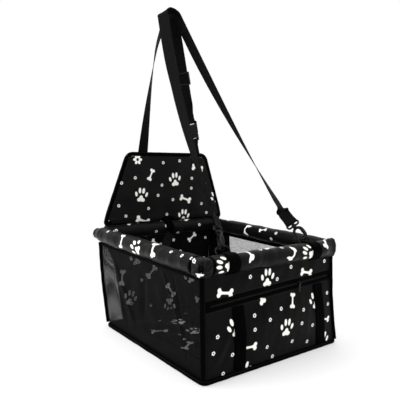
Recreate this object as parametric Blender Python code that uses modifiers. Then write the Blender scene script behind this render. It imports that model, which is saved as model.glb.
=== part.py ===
"""Dog car seat: a soft open box on a tube rim, with a fold-down back flap and two hanging strap loops.

Metres, +Z up. The origin is the centre of the underside, +X is the seat's right, -Y its front.
"""
import math

import bmesh
import bpy
import numpy as np
from mathutils import Matrix, Vector

# Box and rim
BASE_WIDTH = 0.400
BASE_DEPTH = 0.400
RIM_WIDTH = 0.381
RIM_DEPTH = 0.437
RIM_HEIGHT = 0.2355
RIM_SWAY_X = -0.0185
RIM_SWAY_Y = 0.0195
REAR_TUCK = 0.008
RIGHT_WALL_BOW = 0.005
REAR_WALL_BOW = 0.006
CLEARANCE = 0.0003

# Rim tubes and their sleeves
SLEEVE_RADIUS = 0.0195
TUBE_RADIUS = 0.0100
TUBE_WALL = 0.0020
SIDE_SLEEVE_OVERHANG = 0.010
SLEEVE_RING_SHARES = (0.75, 0.5, 0.25)
FRONT_SLEEVE_OVERHANG = 0.004
SLEEVE_END_ROUND = 0.008
CORNER_ROUND = 0.013
CORNER_MOUTH_WIDTH = 0.0110
CORNER_MOUTH_HEIGHT = 0.0160
CORNER_MOUTH_DEPTH = 0.0100

# Fabric and bindings
FABRIC_THICKNESS = 0.0018
MESH_THICKNESS = 0.0012
BINDING_RADIUS = 0.0050
BASE_CORNER_RADIUS = 0.010
POST_END_SHARE = 0.006
TOP_BINDING_HEIGHT = 0.0080
TOP_BINDING_THICKNESS = 0.0030
LINING_SETBACK = 0.0035
GUSSET_WIDTH = 0.034
GUSSET_TAPER = 4
REAR_TOP_SHARE = 0.985
SEAM_PIPING_RADIUS = 0.0014
SEAM_PIPING_GAP = 0.0007
WALL_SAG = 0.004

# Floor
BASE_PANEL_THICKNESS = 0.0015
BASE_BOARD_THICKNESS = 0.0030
MAT_WIDTH = 0.300
MAT_DEPTH = 0.335
MAT_THICKNESS = 0.0070
MAT_CROWN = 0.0030
MAT_DRAW_IN = 0.004

# Front pocket and zip
ZIP_DROP = 0.0711
ZIP_HEIGHT = RIM_HEIGHT - ZIP_DROP
ZIP_CLIMB = 0.017
ZIP_SLOT_HALF = 0.0105
ZIP_TAPE_THICKNESS = 0.0010
ZIP_TOOTH_HEIGHT = 0.0016
ZIP_TOOTH_THICKNESS = 0.0022
ZIP_TOOTH_SPLIT = 0.0012
ZIP_END_INSET = 0.010
ZIP_END_GAP = 0.0020
ZIP_STOP_WIDTH = 0.0040
POCKET_BELLY = 0.0090
BELLY_SPREAD = 0.7
BELLY_RISE = 1.5
SLIDER_PLACE = 0.060
SLIDER_WIDTH = 0.0110
SLIDER_HEIGHT = 0.0080
SLIDER_PLATE = 0.0012
SLIDER_NECK = 0.0006
PULL_LENGTH = 0.0210
PULL_WIDTH = 0.0060
PULL_THICKNESS = 0.0016
PULL_HOLE_RADIUS = 0.0014
PULL_PIN_RADIUS = 0.0008
PULL_PIN_REACH = 0.0048
PULL_EAR_THICKNESS = 0.0010

# Webbing
WEBBING_WIDTH = 0.030
WEBBING_THICKNESS = 0.0015
BAND_SPACING = 0.243
RIM_BAND_SHIFT = -0.0040
POCKET_BAND_SHIFT = 0.0030
POCKET_BAND_DROP = 0.0030
LEASH_WIDTH = 0.025
LEASH_LOOP_X = -0.001

# Ring, hook and eye at each lower strap end
RING_WIRE = 0.0020
RING_HALF_WIDTH = 0.0180
RING_REACH = 0.0170
RING_SEAT_ANGLE = math.radians(45)
HOOK_WIRE = 0.0032
HOOK_HALF_WIDTH = 0.0095
HOOK_SIDE_LENGTH = 0.0250
HOOK_TIP_RISE = 0.0035
HOOK_PLAY = 0.0012
GATE_WIRE = 0.0024
GATE_GAP = 0.0006
GATE_STUD_RADIUS = 0.0022
GATE_STUD_REACH = 0.0060
POST_RADIUS = 0.0026
BOSS_RADIUS = 0.0058
BOSS_HEIGHT = 0.0060
BOSS_RUNNING_GAP = 0.0003
POST_HEAD_RADIUS = 0.0045
POST_HEAD_HEIGHT = 0.0018
EYE_WIRE = 0.0023
EYE_HALF_WIDTH = 0.0180
EYE_HEIGHT = 0.0125
LEFT_HOOK_LEAN = math.radians(31)
RIGHT_HOOK_LEAN = math.radians(40)
LEFT_HOOK_TILT = math.radians(9)
RIGHT_HOOK_TILT = math.radians(17)
LEFT_HOOK_TURN = math.radians(15)
RIGHT_HOOK_TURN = math.radians(-35)

# Strap loops
APEX_X = -0.0125
APEX_Y = 0.2190
APEX_Z = 0.8080
HOOK_STRAP_APEX_HALF = 0.0245
HOOK_STRAP_ARCH_RISE = 0.0210
LEFT_TURN_END_SHARE = 0.5
RIGHT_TURN_START_SHARE = 0.15
STRAP_SAG = 0.021
STRAP_TAIL = 0.034
STRAP_PINCH = 0.012
FLAP_STRAP_APEX_HALF = 0.0145
FLAP_STRAP_APEX_SHIFT = -0.0030
FLAP_STRAP_APEX_DROP = 0.0140
FLAP_STRAP_ARCH_RISE = 0.0170
FLAP_STRAP_LEFT_X = -0.079
FLAP_STRAP_RIGHT_X = 0.099

# Flap
FLAP_BOTTOM_WIDTH = 0.396
FLAP_TOP_WIDTH = 0.262
FLAP_TOP_HEIGHT = 0.447
FLAP_CORNER_RADIUS = 0.022
FLAP_FOOT_RADIUS = 0.0062
FLAP_CORNER_STEPS = 7
FLAP_BINDING_WIDTH = 0.0110
FLAP_BINDING_THICKNESS = 0.0070
FLAP_FACE_THICKNESS = 0.0016
FLAP_BOARD_THICKNESS = 0.0020
FLAP_CROWN = 0.0025
FLAP_STRAP_OVERLAP = 0.0050
FLAP_STRAP_GAP = 0.0007

# Side-release buckle and sliding adjuster on the flap strap
BUCKLE_RISE = 0.053
BUCKLE_HEIGHT = FLAP_TOP_HEIGHT + BUCKLE_RISE
BUCKLE_WIDTH = 0.0400
BUCKLE_THICKNESS = 0.0100
FEMALE_LENGTH = 0.0370
FEMALE_WALL = 0.0020
FEMALE_CAVITY_LENGTH = 0.0230
SLOT_WIDTH = 0.0320
SLOT_HEIGHT = 0.0048
SLOT_BAR = 0.0040
SLOT_BAR_REACH = SLOT_BAR / math.sqrt(2)
MALE_LENGTH = 0.0200
PRONG_LENGTH = 0.0180
PRONG_WIDTH = 0.0042
PRONG_SLACK = 0.0006
GUIDE_LENGTH = 0.0150
WINDOW_LENGTH = 0.0080
WINDOW_START = 0.0080
GLIDE_RISE = 0.205
GLIDE_HEIGHT = FLAP_TOP_HEIGHT + GLIDE_RISE
GLIDE_LENGTH = 0.0350
GLIDE_TRAVEL = 0.0300
GLIDE_RAIL_WIDTH = 0.0032
GLIDE_BAR_WIDTH = 0.0036
GLIDE_BAR_THICKNESS = 0.0022
GLIDE_TURN = math.radians(-50)

# Leash route inside the box, chosen by hand: it hangs from the rear loop and lies on the mat.
# Each point is a share of half the base's width, half its depth and the rim's height above where the leash lies.
LEASH_REST_HEIGHT = 0.01900485
LEASH_ROUTE_SHARES = [
    (-0.0200, 1.0525, 0.8662),
    (-0.1100, 1.0100, 0.7940),
    (-0.1700, 0.9300, 0.6836),
    (-0.1550, 0.8100, 0.5350),
    (-0.1100, 0.7000, 0.3652),
    (-0.0500, 0.6000, 0.1826),
    (-0.0050, 0.5200, 0.0424),
    (0.0600, 0.4300, 0.0),
    (0.1500, 0.3500, 0.0),
    (0.2400, 0.2900, 0.0085),
]

CURVE_SIDES_RESOLUTION = 2
CUT_OVERRUN = 0.002


def clear_scene():
    """Remove every object that the file starts with."""
    for item in list(bpy.data.objects):
        bpy.data.objects.remove(item, do_unlink=True)


def new_collection(name):
    collection = bpy.data.collections.new(name)
    bpy.context.scene.collection.children.link(collection)
    return collection


clear_scene()
PARTS = new_collection("dog_car_seat")
CUTTERS = new_collection("cutters")


# Materials

def principled(name, colour, roughness, metallic=0.0):
    material = bpy.data.materials.new(name)
    material.use_nodes = True
    shader = material.node_tree.nodes["Principled BSDF"]
    shader.inputs["Base Color"].default_value = (*colour, 1.0)
    shader.inputs["Roughness"].default_value = roughness
    shader.inputs["Metallic"].default_value = metallic
    material.diffuse_color = (*colour, 1.0)
    return material


def printed_fabric(name):
    return principled(name, (0.020, 0.020, 0.021), 0.48)


def black_mesh(name):
    return principled(name, (0.012, 0.012, 0.012), 0.80)


def binding_tape(name):
    return principled(name, (0.010, 0.010, 0.010), 0.75)


def black_webbing(name):
    return principled(name, (0.012, 0.013, 0.013), 0.70)


def black_plastic(name):
    return principled(name, (0.008, 0.008, 0.008), 0.35)


def black_metal(name):
    return principled(name, (0.030, 0.030, 0.032), 0.30, 0.9)


def white_tube(name):
    return principled(name, (0.720, 0.720, 0.700), 0.40)


def grey_board(name):
    return principled(name, (0.350, 0.340, 0.320), 0.70)


# Object helpers

def add_object(name, data, finish, parent=None, collection=None):
    """Link one named object and give it its own material."""
    item = bpy.data.objects.new(name, data)
    (collection or PARTS).objects.link(item)
    if finish is not None:
        data.materials.append(finish(name + "_finish"))
    if parent is not None:
        item.parent = parent
    return item


def mesh_of(bm, name):
    mesh = bpy.data.meshes.new(name)
    bm.to_mesh(mesh)
    bm.free()
    return mesh


def shade_round(mesh):
    mesh.shade_smooth()
    mesh.set_sharp_from_angle(angle=math.radians(40))


def sheet(name, place, across, up, thickness, finish, closed=False, parent=None):
    """A thin panel: a grid with u and v from 0 to 1, moved by place(u, v), then given its thickness."""
    bm = bmesh.new()
    bmesh.ops.create_grid(bm, x_segments=across, y_segments=up, size=0.5)
    grid = np.array([vertex.co[:] for vertex in bm.verts])
    spots = place(grid[:, 0] + 0.5, grid[:, 1] + 0.5)
    for vertex, spot in zip(bm.verts, spots):
        vertex.co = spot
    if closed:
        bmesh.ops.remove_doubles(bm, verts=bm.verts, dist=CLEARANCE / 3)
    bmesh.ops.recalc_face_normals(bm, faces=bm.faces)
    item = add_object(name, mesh_of(bm, name), finish, parent)
    wall = item.modifiers.new("thickness", "SOLIDIFY")
    wall.thickness = thickness
    wall.offset = 0
    wall.use_even_offset = True
    return item


def ribbon(name, points, sideways, width, finish, thickness=WEBBING_THICKNESS, closed=False, parent=None):
    """A webbing strip along points, whose width lies along the unit vectors sideways."""
    points = np.asarray(points, float)
    sideways = np.asarray(sideways, float)
    steps = np.arange(len(points))

    def place(u, v):
        step = u * (len(points) - 1)
        along = np.stack([np.interp(step, steps, points[:, axis]) for axis in range(3)], -1)
        side = np.stack([np.interp(step, steps, sideways[:, axis]) for axis in range(3)], -1)
        return along + side * ((v - 0.5) * width)[:, None]

    return sheet(name, place, len(points) - 1, 1, thickness, finish, closed, parent)


def box_mesh(name, size, centre, round_width=0.0, segments=2):
    """A cuboid with rounded edges, as a mesh about centre."""
    bm = bmesh.new()
    bmesh.ops.create_cube(bm, size=1.0)
    bmesh.ops.scale(bm, vec=Vector(size), verts=bm.verts)
    if round_width > 0:
        bmesh.ops.bevel(bm, geom=bm.edges[:], offset=round_width, segments=segments, affect="EDGES", profile=0.5)
    bmesh.ops.translate(bm, vec=Vector(centre), verts=bm.verts)
    return mesh_of(bm, name)


def box(name, size, centre, finish, round_width=0.0, parent=None, segments=2):
    return add_object(name, box_mesh(name, size, centre, round_width, segments), finish, parent)


def cylinder_mesh(name, radius, length, centre, axis, sides=20):
    """A cylinder about centre along a unit axis."""
    bm = bmesh.new()
    bmesh.ops.create_cone(bm, cap_ends=True, segments=sides, radius1=radius, radius2=radius, depth=length)
    turn = Vector((0, 0, 1)).rotation_difference(Vector(axis)).to_matrix().to_4x4()
    bmesh.ops.transform(bm, matrix=Matrix.Translation(Vector(centre)) @ turn, verts=bm.verts)
    return mesh_of(bm, name)


def turned(name, profile, finish, parent=None, steps=24, closed_profile=False):
    """A profile of (radius, height) pairs at +X turned about Z, run down its outer side from the top."""
    mesh = bpy.data.meshes.new(name)
    count = len(profile)
    edges = [(index, index + 1) for index in range(count - 1)]
    if closed_profile:
        edges.append((count - 1, 0))
    mesh.from_pydata([(radius, 0, height) for radius, height in profile], edges, [])
    item = add_object(name, mesh, finish, parent)
    screw = item.modifiers.new("turn", "SCREW")
    screw.axis = "Z"
    screw.steps = steps
    screw.render_steps = steps
    screw.use_merge_vertices = True
    screw.merge_threshold = CLEARANCE / 10
    screw.use_smooth_shade = True
    return item


def tube_curve(name, points, radius, finish, cyclic=False, parent=None, collection=None):
    """A round bar along points, as a curve with filled ends."""
    curve = bpy.data.curves.new(name, "CURVE")
    curve.dimensions = "3D"
    curve.bevel_depth = radius
    curve.bevel_resolution = CURVE_SIDES_RESOLUTION
    curve.use_fill_caps = not cyclic
    spline = curve.splines.new("POLY")
    spline.points.add(len(points) - 1)
    for target, point in zip(spline.points, points):
        target.co = (*point, 1.0)
    spline.use_cyclic_u = cyclic
    return add_object(name, curve, finish, parent, collection)


def solid_from_curve(item):
    """The curve object's solid as a mesh object in its place, with its end caps welded."""
    bpy.context.view_layer.update()
    graph = bpy.context.evaluated_depsgraph_get()
    mesh = bpy.data.meshes.new_from_object(item.evaluated_get(graph))
    bm = bmesh.new()
    bm.from_mesh(mesh)
    bmesh.ops.remove_doubles(bm, verts=bm.verts, dist=CLEARANCE / 30)
    bm.to_mesh(mesh)
    bm.free()
    name = item.name
    solid = bpy.data.objects.new(name + "_solid", mesh)
    item.users_collection[0].objects.link(solid)
    solid.parent = item.parent
    solid.matrix_world = item.matrix_world.copy()
    bpy.data.objects.remove(item, do_unlink=True)
    solid.name = name
    return solid


def cutter(name, mesh, parent=None):
    item = add_object(name, mesh, None, parent, CUTTERS)
    item.hide_render = True
    item.display_type = "WIRE"
    return item


def combine(item, other, operation):
    """Cut other out of item, or join other to it."""
    step = item.modifiers.new(operation.lower(), "BOOLEAN")
    step.operation = operation
    step.object = other
    step.solver = "EXACT"


def empty(name, location, rotation=None, parent=None):
    """A joint or mounting frame, placed by a location and a 3 by 3 rotation."""
    item = bpy.data.objects.new(name, None)
    PARTS.objects.link(item)
    if parent is not None:
        item.parent = parent
    turn = Matrix(rotation).to_4x4() if rotation is not None else Matrix.Identity(4)
    item.matrix_basis = Matrix.Translation(Vector(location)) @ turn
    return item


def unit(vector):
    vector = np.asarray(vector, float)
    return vector / np.linalg.norm(vector)


def frame_columns(x_axis, y_axis, z_axis):
    """A rotation whose columns are the three given axes."""
    return [[x_axis[row], y_axis[row], z_axis[row]] for row in range(3)]


def smooth_step(value, start, end):
    share = np.clip((np.asarray(value, float) - start) / (end - start), 0, 1)
    return share * share * (3 - 2 * share)


def smooth_route(points, count):
    """count points along a smooth curve through the route's own points (Catmull-Rom)."""
    points = np.asarray(points, float)
    padded = np.vstack([2 * points[0] - points[1], points, 2 * points[-1] - points[-2]])
    spots = np.linspace(0, len(points) - 1, count)
    index = np.minimum(spots.astype(int), len(points) - 2)
    share = (spots - index)[:, None]
    before, start, end, after = (padded[index + shift] for shift in range(4))
    linear = (end - before) * share
    square = (2 * before - 5 * start + 4 * end - after) * share ** 2
    cube = (3 * start - before - 3 * end + after) * share ** 3
    return start + (linear + square + cube) / 2


# Shared places

RIM_LEFT = RIM_SWAY_X - RIM_WIDTH / 2
RIM_RIGHT = RIM_SWAY_X + RIM_WIDTH / 2
RIM_FRONT = RIM_SWAY_Y - RIM_DEPTH / 2
RIM_REAR = RIM_SWAY_Y + RIM_DEPTH / 2
BASE_BINDING_Z = BINDING_RADIUS + CLEARANCE
SEAM_BOTTOM = BASE_BINDING_Z + BINDING_RADIUS + CLEARANCE
SEAM_TOP = RIM_HEIGHT - SLEEVE_RADIUS - CLEARANCE
POST_INSET = BINDING_RADIUS + CLEARANCE
SIDE_SLEEVE_FRONT = RIM_FRONT + SLEEVE_RADIUS + CLEARANCE
SIDE_SLEEVE_REAR = RIM_REAR + SIDE_SLEEVE_OVERHANG
RIM_BAND_PLACES = [RIM_SWAY_X + RIM_BAND_SHIFT + side * BAND_SPACING / 2 for side in (-1, 1)]
POCKET_BAND_PLACES = [POCKET_BAND_SHIFT + side * BAND_SPACING / 2 for side in (-1, 1)]
ZIP_SLOPE = ZIP_CLIMB / (BASE_WIDTH - 2 * BASE_CORNER_RADIUS)


def corner_point(side_x, side_y, rise):
    """A point on a corner seam, where rise runs from 0 at the base to 1 under the rim."""
    rise = np.asarray(rise, float)
    bow = np.sin(math.pi * rise)
    rim_x = RIM_LEFT if side_x < 0 else RIM_RIGHT
    rim_y = RIM_FRONT if side_y < 0 else RIM_REAR - REAR_TUCK
    x = side_x * BASE_WIDTH / 2 * (1 - rise) + rim_x * rise
    y = side_y * BASE_DEPTH / 2 * (1 - rise) + rim_y * rise
    if side_x > 0:
        x = x - RIGHT_WALL_BOW * bow
    if side_y > 0:
        y = y + REAR_WALL_BOW * bow
    z = SEAM_BOTTOM + (SEAM_TOP - SEAM_BOTTOM) * rise
    return np.stack([x, y, z], -1)


def wall_point(start, end, across, rise):
    """A point on the ruled wall between two corner seams, where across is 0 to 1 inside the two posts."""
    low = corner_point(*start, rise)
    high = corner_point(*end, rise)
    span = np.linalg.norm(high - low, axis=-1, keepdims=True)
    inset = POST_INSET / span
    share = inset + (1 - 2 * inset) * np.asarray(across, float)[..., None]
    return low + (high - low) * share


def zip_z(x):
    return ZIP_HEIGHT + ZIP_SLOPE * x


def rise_of(z):
    return (z - SEAM_BOTTOM) / (SEAM_TOP - SEAM_BOTTOM)


# Floor

def make_floor():
    half_gap = 2 * (BINDING_RADIUS + CLEARANCE)
    plan = (BASE_WIDTH - half_gap, BASE_DEPTH - half_gap)
    layers = [
        ("base_panel", BASE_PANEL_THICKNESS, printed_fabric),
        ("base_board", BASE_BOARD_THICKNESS, grey_board),
    ]
    level = 0.0
    for name, thickness, finish in layers:
        slab(name, plan, thickness, level, finish)
        level += thickness + CLEARANCE
    make_mat(level)


def slab(name, plan, thickness, level, finish):
    """A flat sheet whose corners follow the rounded base."""
    bm = bmesh.new()
    bmesh.ops.create_cube(bm, size=1.0)
    bmesh.ops.scale(bm, vec=Vector((*plan, thickness)), verts=bm.verts)
    upright = [edge for edge in bm.edges if abs(edge.verts[0].co.z - edge.verts[1].co.z) > thickness / 2]
    radius = BASE_CORNER_RADIUS - BINDING_RADIUS
    bmesh.ops.bevel(bm, geom=upright, offset=radius, segments=4, affect="EDGES", profile=0.5)
    bmesh.ops.translate(bm, vec=Vector((0, 0, level + thickness / 2)), verts=bm.verts)
    return add_object(name, mesh_of(bm, name), finish)


def make_mat(level):
    """The padded mat: a box with a crown on top and sides drawn in between its corners."""
    bm = bmesh.new()
    bmesh.ops.create_cube(bm, size=2.0)
    bmesh.ops.subdivide_edges(bm, edges=bm.edges[:], cuts=9, use_grid_fill=True)
    for vertex in bm.verts:
        u, v, w = vertex.co
        crown = MAT_CROWN * (1 - u ** 4) * (1 - v ** 4) * (w + 1) / 2
        rim_round = 1 - MAT_DRAW_IN / MAT_WIDTH * w * w
        x = u * (MAT_WIDTH / 2 - MAT_DRAW_IN * (1 - v * v)) * rim_round
        y = v * (MAT_DEPTH / 2 - MAT_DRAW_IN * (1 - u * u)) * rim_round
        vertex.co = (x, y, level + MAT_THICKNESS * (w + 1) / 2 + crown)
    add_object("floor_mat", mesh_of(bm, "floor_mat"), printed_fabric)


def make_base_binding():
    """The tape round the foot of the box, as a round bar with rounded corners."""
    half_x = BASE_WIDTH / 2 - BASE_CORNER_RADIUS
    half_y = BASE_DEPTH / 2 - BASE_CORNER_RADIUS
    points = []
    for quarter, (side_x, side_y) in enumerate(((1, 1), (-1, 1), (-1, -1), (1, -1))):
        for step in range(5):
            angle = math.pi / 2 * (quarter + step / 4)
            x = side_x * half_x + BASE_CORNER_RADIUS * math.cos(angle)
            y = side_y * half_y + BASE_CORNER_RADIUS * math.sin(angle)
            points.append((x, y, BASE_BINDING_Z))
    tube_curve("base_binding", points, BINDING_RADIUS, binding_tape, cyclic=True)


# Walls

def make_corner_bindings():
    """The bound seam up each corner, from the base binding to the rim sleeve."""
    names = {(-1, -1): "corner_binding_front_left", (1, -1): "corner_binding_front_right",
             (-1, 1): "corner_binding_rear_left", (1, 1): "corner_binding_rear_right"}
    for (side_x, side_y), name in names.items():
        rises = np.linspace(POST_END_SHARE, 1 - POST_END_SHARE, 9)
        points = corner_point(side_x, side_y, rises)
        tube_curve(name, points, BINDING_RADIUS, binding_tape)


def side_wall(name, side, top_rise):
    """One see-through mesh side, hanging a little inwards between its seams."""
    def place(u, v):
        rise = FOOT_RISE + v * (top_rise - FOOT_RISE)
        spots = wall_point((side, -1), (side, 1), u, rise)
        spots[:, 0] -= side * WALL_SAG * np.sin(math.pi * u) * np.sin(math.pi * v)
        return spots
    return sheet(name, place, 14, 8, MESH_THICKNESS, black_mesh)


FOOT_RISE = 0.0
MESH_TOP_RISE = 1 - (TOP_BINDING_HEIGHT + CLEARANCE) / (SEAM_TOP - SEAM_BOTTOM)


def make_side_walls():
    side_wall("left_mesh_wall", -1, MESH_TOP_RISE)
    side_wall("right_mesh_wall", 1, MESH_TOP_RISE)


def make_mesh_top_bindings():
    """The flat tape that joins each mesh side to its sleeve."""
    low = 1 - TOP_BINDING_HEIGHT / (SEAM_TOP - SEAM_BOTTOM)
    for side, name in ((-1, "left_mesh_top_binding"), (1, "right_mesh_top_binding")):
        def place(u, v, side=side):
            return wall_point((side, -1), (side, 1), u, low + v * (1 - low))
        sheet(name, place, 6, 1, TOP_BINDING_THICKNESS, binding_tape)


def gusset_edge(rise):
    """How far a rear seam lies in from its corner: wide at the foot, running into the corner at the rim."""
    return POST_INSET + SEAM_PIPING_RADIUS * 2 + GUSSET_WIDTH * (1 - rise ** GUSSET_TAPER)


def rear_point(share, rise):
    low = corner_point(-1, 1, rise)
    high = corner_point(1, 1, rise)
    return low + (high - low) * np.asarray(share, float)[..., None]


def rear_span(rise):
    return np.linalg.norm(corner_point(1, 1, rise) - corner_point(-1, 1, rise), axis=-1)


def make_rear_wall():
    """The printed rear panel between its two seams."""
    def place(u, v):
        v = v * REAR_TOP_SHARE
        edge = (gusset_edge(v) + SEAM_PIPING_RADIUS + SEAM_PIPING_GAP) / rear_span(v)
        spots = rear_point(edge + (1 - 2 * edge) * u, v)
        spots[:, 1] += WALL_SAG * np.sin(math.pi * u) * np.sin(math.pi * v)
        return spots
    sheet("rear_wall", place, 14, 12, FABRIC_THICKNESS, printed_fabric)


def make_rear_gussets():
    """The mesh strip that comes round each rear corner, and the piped seam beside the rear panel."""
    for side, word in ((-1, "left"), (1, "right")):
        def place(u, v, side=side):
            v = v * REAR_TOP_SHARE
            near = POST_INSET / rear_span(v)
            far = (gusset_edge(v) - SEAM_PIPING_RADIUS - SEAM_PIPING_GAP) / rear_span(v)
            share = near + (far - near) * u
            return rear_point(share if side < 0 else 1 - share, v)
        sheet("rear_" + word + "_mesh_gusset", place, 3, 12, MESH_THICKNESS, black_mesh)
        rises = np.linspace(0, REAR_TOP_SHARE, 13)
        share = gusset_edge(rises) / rear_span(rises)
        points = rear_point(share if side < 0 else 1 - share, rises)
        tube_curve("rear_" + word + "_seam_piping", points, SEAM_PIPING_RADIUS, binding_tape)


# Front wall, pocket and zip

def front_spot(x_share, z):
    """A point of the flat front wall at height z, with x_share 0 to 1 between the front posts."""
    return wall_point((-1, -1), (1, -1), x_share, rise_of(z))


def front_x(x_share):
    return front_spot(np.asarray(x_share, float), np.full_like(np.asarray(x_share, float), ZIP_HEIGHT))[..., 0]


def pocket_belly(x_share, v):
    across = np.sin(math.pi * np.clip(x_share, 0, 1)) ** BELLY_SPREAD
    up = np.sin(math.pi * np.clip(v, 0, 1)) ** BELLY_RISE
    return POCKET_BELLY * across * up


def pocket_place(offset=0.0):
    """The pocket's face: it swells forward between its seams and keeps offset in front of itself."""
    def place(u, v):
        top = zip_z(front_x(u)) - ZIP_SLOT_HALF - CLEARANCE
        z = SEAM_BOTTOM + (top - SEAM_BOTTOM) * v
        spots = front_spot(u, z)
        spots[:, 1] -= pocket_belly(u, v) + offset
        return spots
    return place


def make_front_wall():
    def lining(u, v):
        spots = front_spot(u, SEAM_BOTTOM + (SEAM_TOP - SEAM_BOTTOM) * v)
        spots[:, 1] += LINING_SETBACK
        return spots

    def upper(u, v):
        bottom = zip_z(front_x(u)) + ZIP_SLOT_HALF + CLEARANCE
        return front_spot(u, bottom + (SEAM_TOP - bottom) * v)

    sheet("front_wall_lining", lining, 8, 6, FABRIC_THICKNESS, printed_fabric)
    sheet("front_wall_upper", upper, 12, 2, FABRIC_THICKNESS, printed_fabric)
    sheet("pocket_panel", pocket_place(), 18, 12, FABRIC_THICKNESS, printed_fabric)


def make_pocket_bands():
    """Two webbing bands down the pocket's face, following its swell."""
    left_end, right_end = front_x(np.array([0.0, 1.0]))
    stand_off = FABRIC_THICKNESS / 2 + WEBBING_THICKNESS / 2 + 2 * CLEARANCE
    face = pocket_place(stand_off)
    for middle, word in zip(POCKET_BAND_PLACES, ("left", "right")):
        low = (middle - WEBBING_WIDTH / 2 - left_end) / (right_end - left_end)
        high = (middle + WEBBING_WIDTH / 2 - left_end) / (right_end - left_end)
        top = 1 - POCKET_BAND_DROP / (ZIP_HEIGHT - SEAM_BOTTOM)

        def place(u, v, low=low, high=high, top=top):
            return face(low + (high - low) * u, v * top)
        sheet("pocket_band_" + word, place, 2, 14, WEBBING_THICKNESS, black_webbing)


def zip_frame():
    """The zip's own frame: its X runs along the teeth, which climb to the right."""
    slope = math.atan(ZIP_SLOPE)
    along = (math.cos(slope), 0, math.sin(slope))
    upward = (-math.sin(slope), 0, math.cos(slope))
    return empty("zip_frame", (0, -BASE_DEPTH / 2, ZIP_HEIGHT), frame_columns(along, (0, 1, 0), upward))


def make_zip():
    frame = zip_frame()
    left_end, right_end = front_x(np.array([0.0, 1.0]))
    length = right_end - left_end - 2 * ZIP_END_GAP
    middle = (left_end + right_end) / 2
    tape_low = ZIP_TOOTH_SPLIT / 2 + ZIP_TOOTH_HEIGHT + CLEARANCE
    tape_high = ZIP_SLOT_HALF - CLEARANCE
    teeth_length = length - 2 * ZIP_END_INSET
    centre = (middle, 0, 0)
    tapes = box("zip_tapes", (length, ZIP_TAPE_THICKNESS, 2 * tape_high), centre, binding_tape, parent=frame)
    window_size = (teeth_length + 2 * CLEARANCE, 2 * ZIP_TAPE_THICKNESS, 2 * tape_low)
    combine(tapes, cutter("zip_window", box_mesh("zip_window", window_size, centre), frame), "DIFFERENCE")
    teeth_size = (teeth_length, ZIP_TOOTH_THICKNESS, ZIP_TOOTH_SPLIT + 2 * ZIP_TOOTH_HEIGHT)
    teeth = box("zip_teeth", teeth_size, centre, black_plastic, parent=frame)
    split_size = (teeth_length - 2 * ZIP_STOP_WIDTH, 2 * ZIP_TOOTH_THICKNESS, ZIP_TOOTH_SPLIT)
    combine(teeth, cutter("zip_split", box_mesh("zip_split", split_size, centre), frame), "DIFFERENCE")
    make_slider(frame)


def make_slider(frame):
    """The slider: two plates joined by a thin neck between the tooth rows, with ears for the pull."""
    home = empty("slider_frame", (SLIDER_PLACE, 0, 0), parent=frame)
    plate_gap = ZIP_TOOTH_THICKNESS / 2 + CLEARANCE
    front_y = -(plate_gap + SLIDER_PLATE / 2)
    slider = box("zip_slider", (SLIDER_WIDTH, SLIDER_PLATE, SLIDER_HEIGHT), (0, front_y, 0), black_metal,
                 SLIDER_PLATE / 4, home, segments=1)
    back = box_mesh("slider_back", (SLIDER_WIDTH, SLIDER_PLATE, SLIDER_HEIGHT), (0, -front_y, 0))
    neck_size = (SLIDER_WIDTH / 3, 2 * plate_gap + SLIDER_PLATE, SLIDER_NECK)
    neck = box_mesh("slider_neck", neck_size, (0, 0, 0))
    combine(slider, cutter("slider_back", back, home), "UNION")
    combine(slider, cutter("slider_neck", neck, home), "UNION")
    pin_y = front_y - SLIDER_PLATE / 2 - PULL_PIN_REACH / 2
    ear_gap = PULL_WIDTH / 2 + CLEARANCE
    pin_length = 2 * (ear_gap + PULL_EAR_THICKNESS)
    pin = cylinder_mesh("slider_pin", PULL_PIN_RADIUS, pin_length, (0, pin_y, 0), (1, 0, 0), 12)
    for side in (-1, 1):
        ear_x = side * (ear_gap + PULL_EAR_THICKNESS / 2)
        ear_reach = PULL_PIN_REACH + SLIDER_PLATE / 2
        ear_size = (PULL_EAR_THICKNESS, ear_reach, 2 * PULL_HOLE_RADIUS)
        ear = box_mesh("slider_ear", ear_size, (ear_x, front_y - ear_reach / 2, 0))
        combine(slider, cutter("slider_ear_%d" % side, ear, home), "UNION")
    combine(slider, cutter("slider_pin", pin, home), "UNION")
    make_pull(home, pin_y)


def make_pull(home, pin_y):
    """The pull tab, which hangs plumb from the slider's pin."""
    slope = math.atan(ZIP_SLOPE)
    plumb = frame_columns((math.cos(slope), 0, -math.sin(slope)), (0, 1, 0), (math.sin(slope), 0, math.cos(slope)))
    hinge = empty("pull_frame", (0, pin_y, 0), plumb, home)
    head = PULL_HOLE_RADIUS + CLEARANCE
    size = (PULL_WIDTH, PULL_THICKNESS, PULL_LENGTH)
    pull = box("zip_pull", size, (0, 0, head - PULL_LENGTH / 2), black_metal, PULL_THICKNESS / 5, hinge, segments=1)
    eye = cylinder_mesh("pull_eye", PULL_HOLE_RADIUS + PULL_THICKNESS / 3, PULL_WIDTH, (0, 0, 0), (1, 0, 0), 14)
    combine(pull, cutter("pull_eye", eye, hinge), "UNION")
    hole = cylinder_mesh("pull_hole", PULL_PIN_RADIUS + CLEARANCE, 2 * PULL_WIDTH, (0, 0, 0), (1, 0, 0), 12)
    combine(pull, cutter("pull_hole", hole, hinge), "DIFFERENCE")


# Rim

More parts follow.
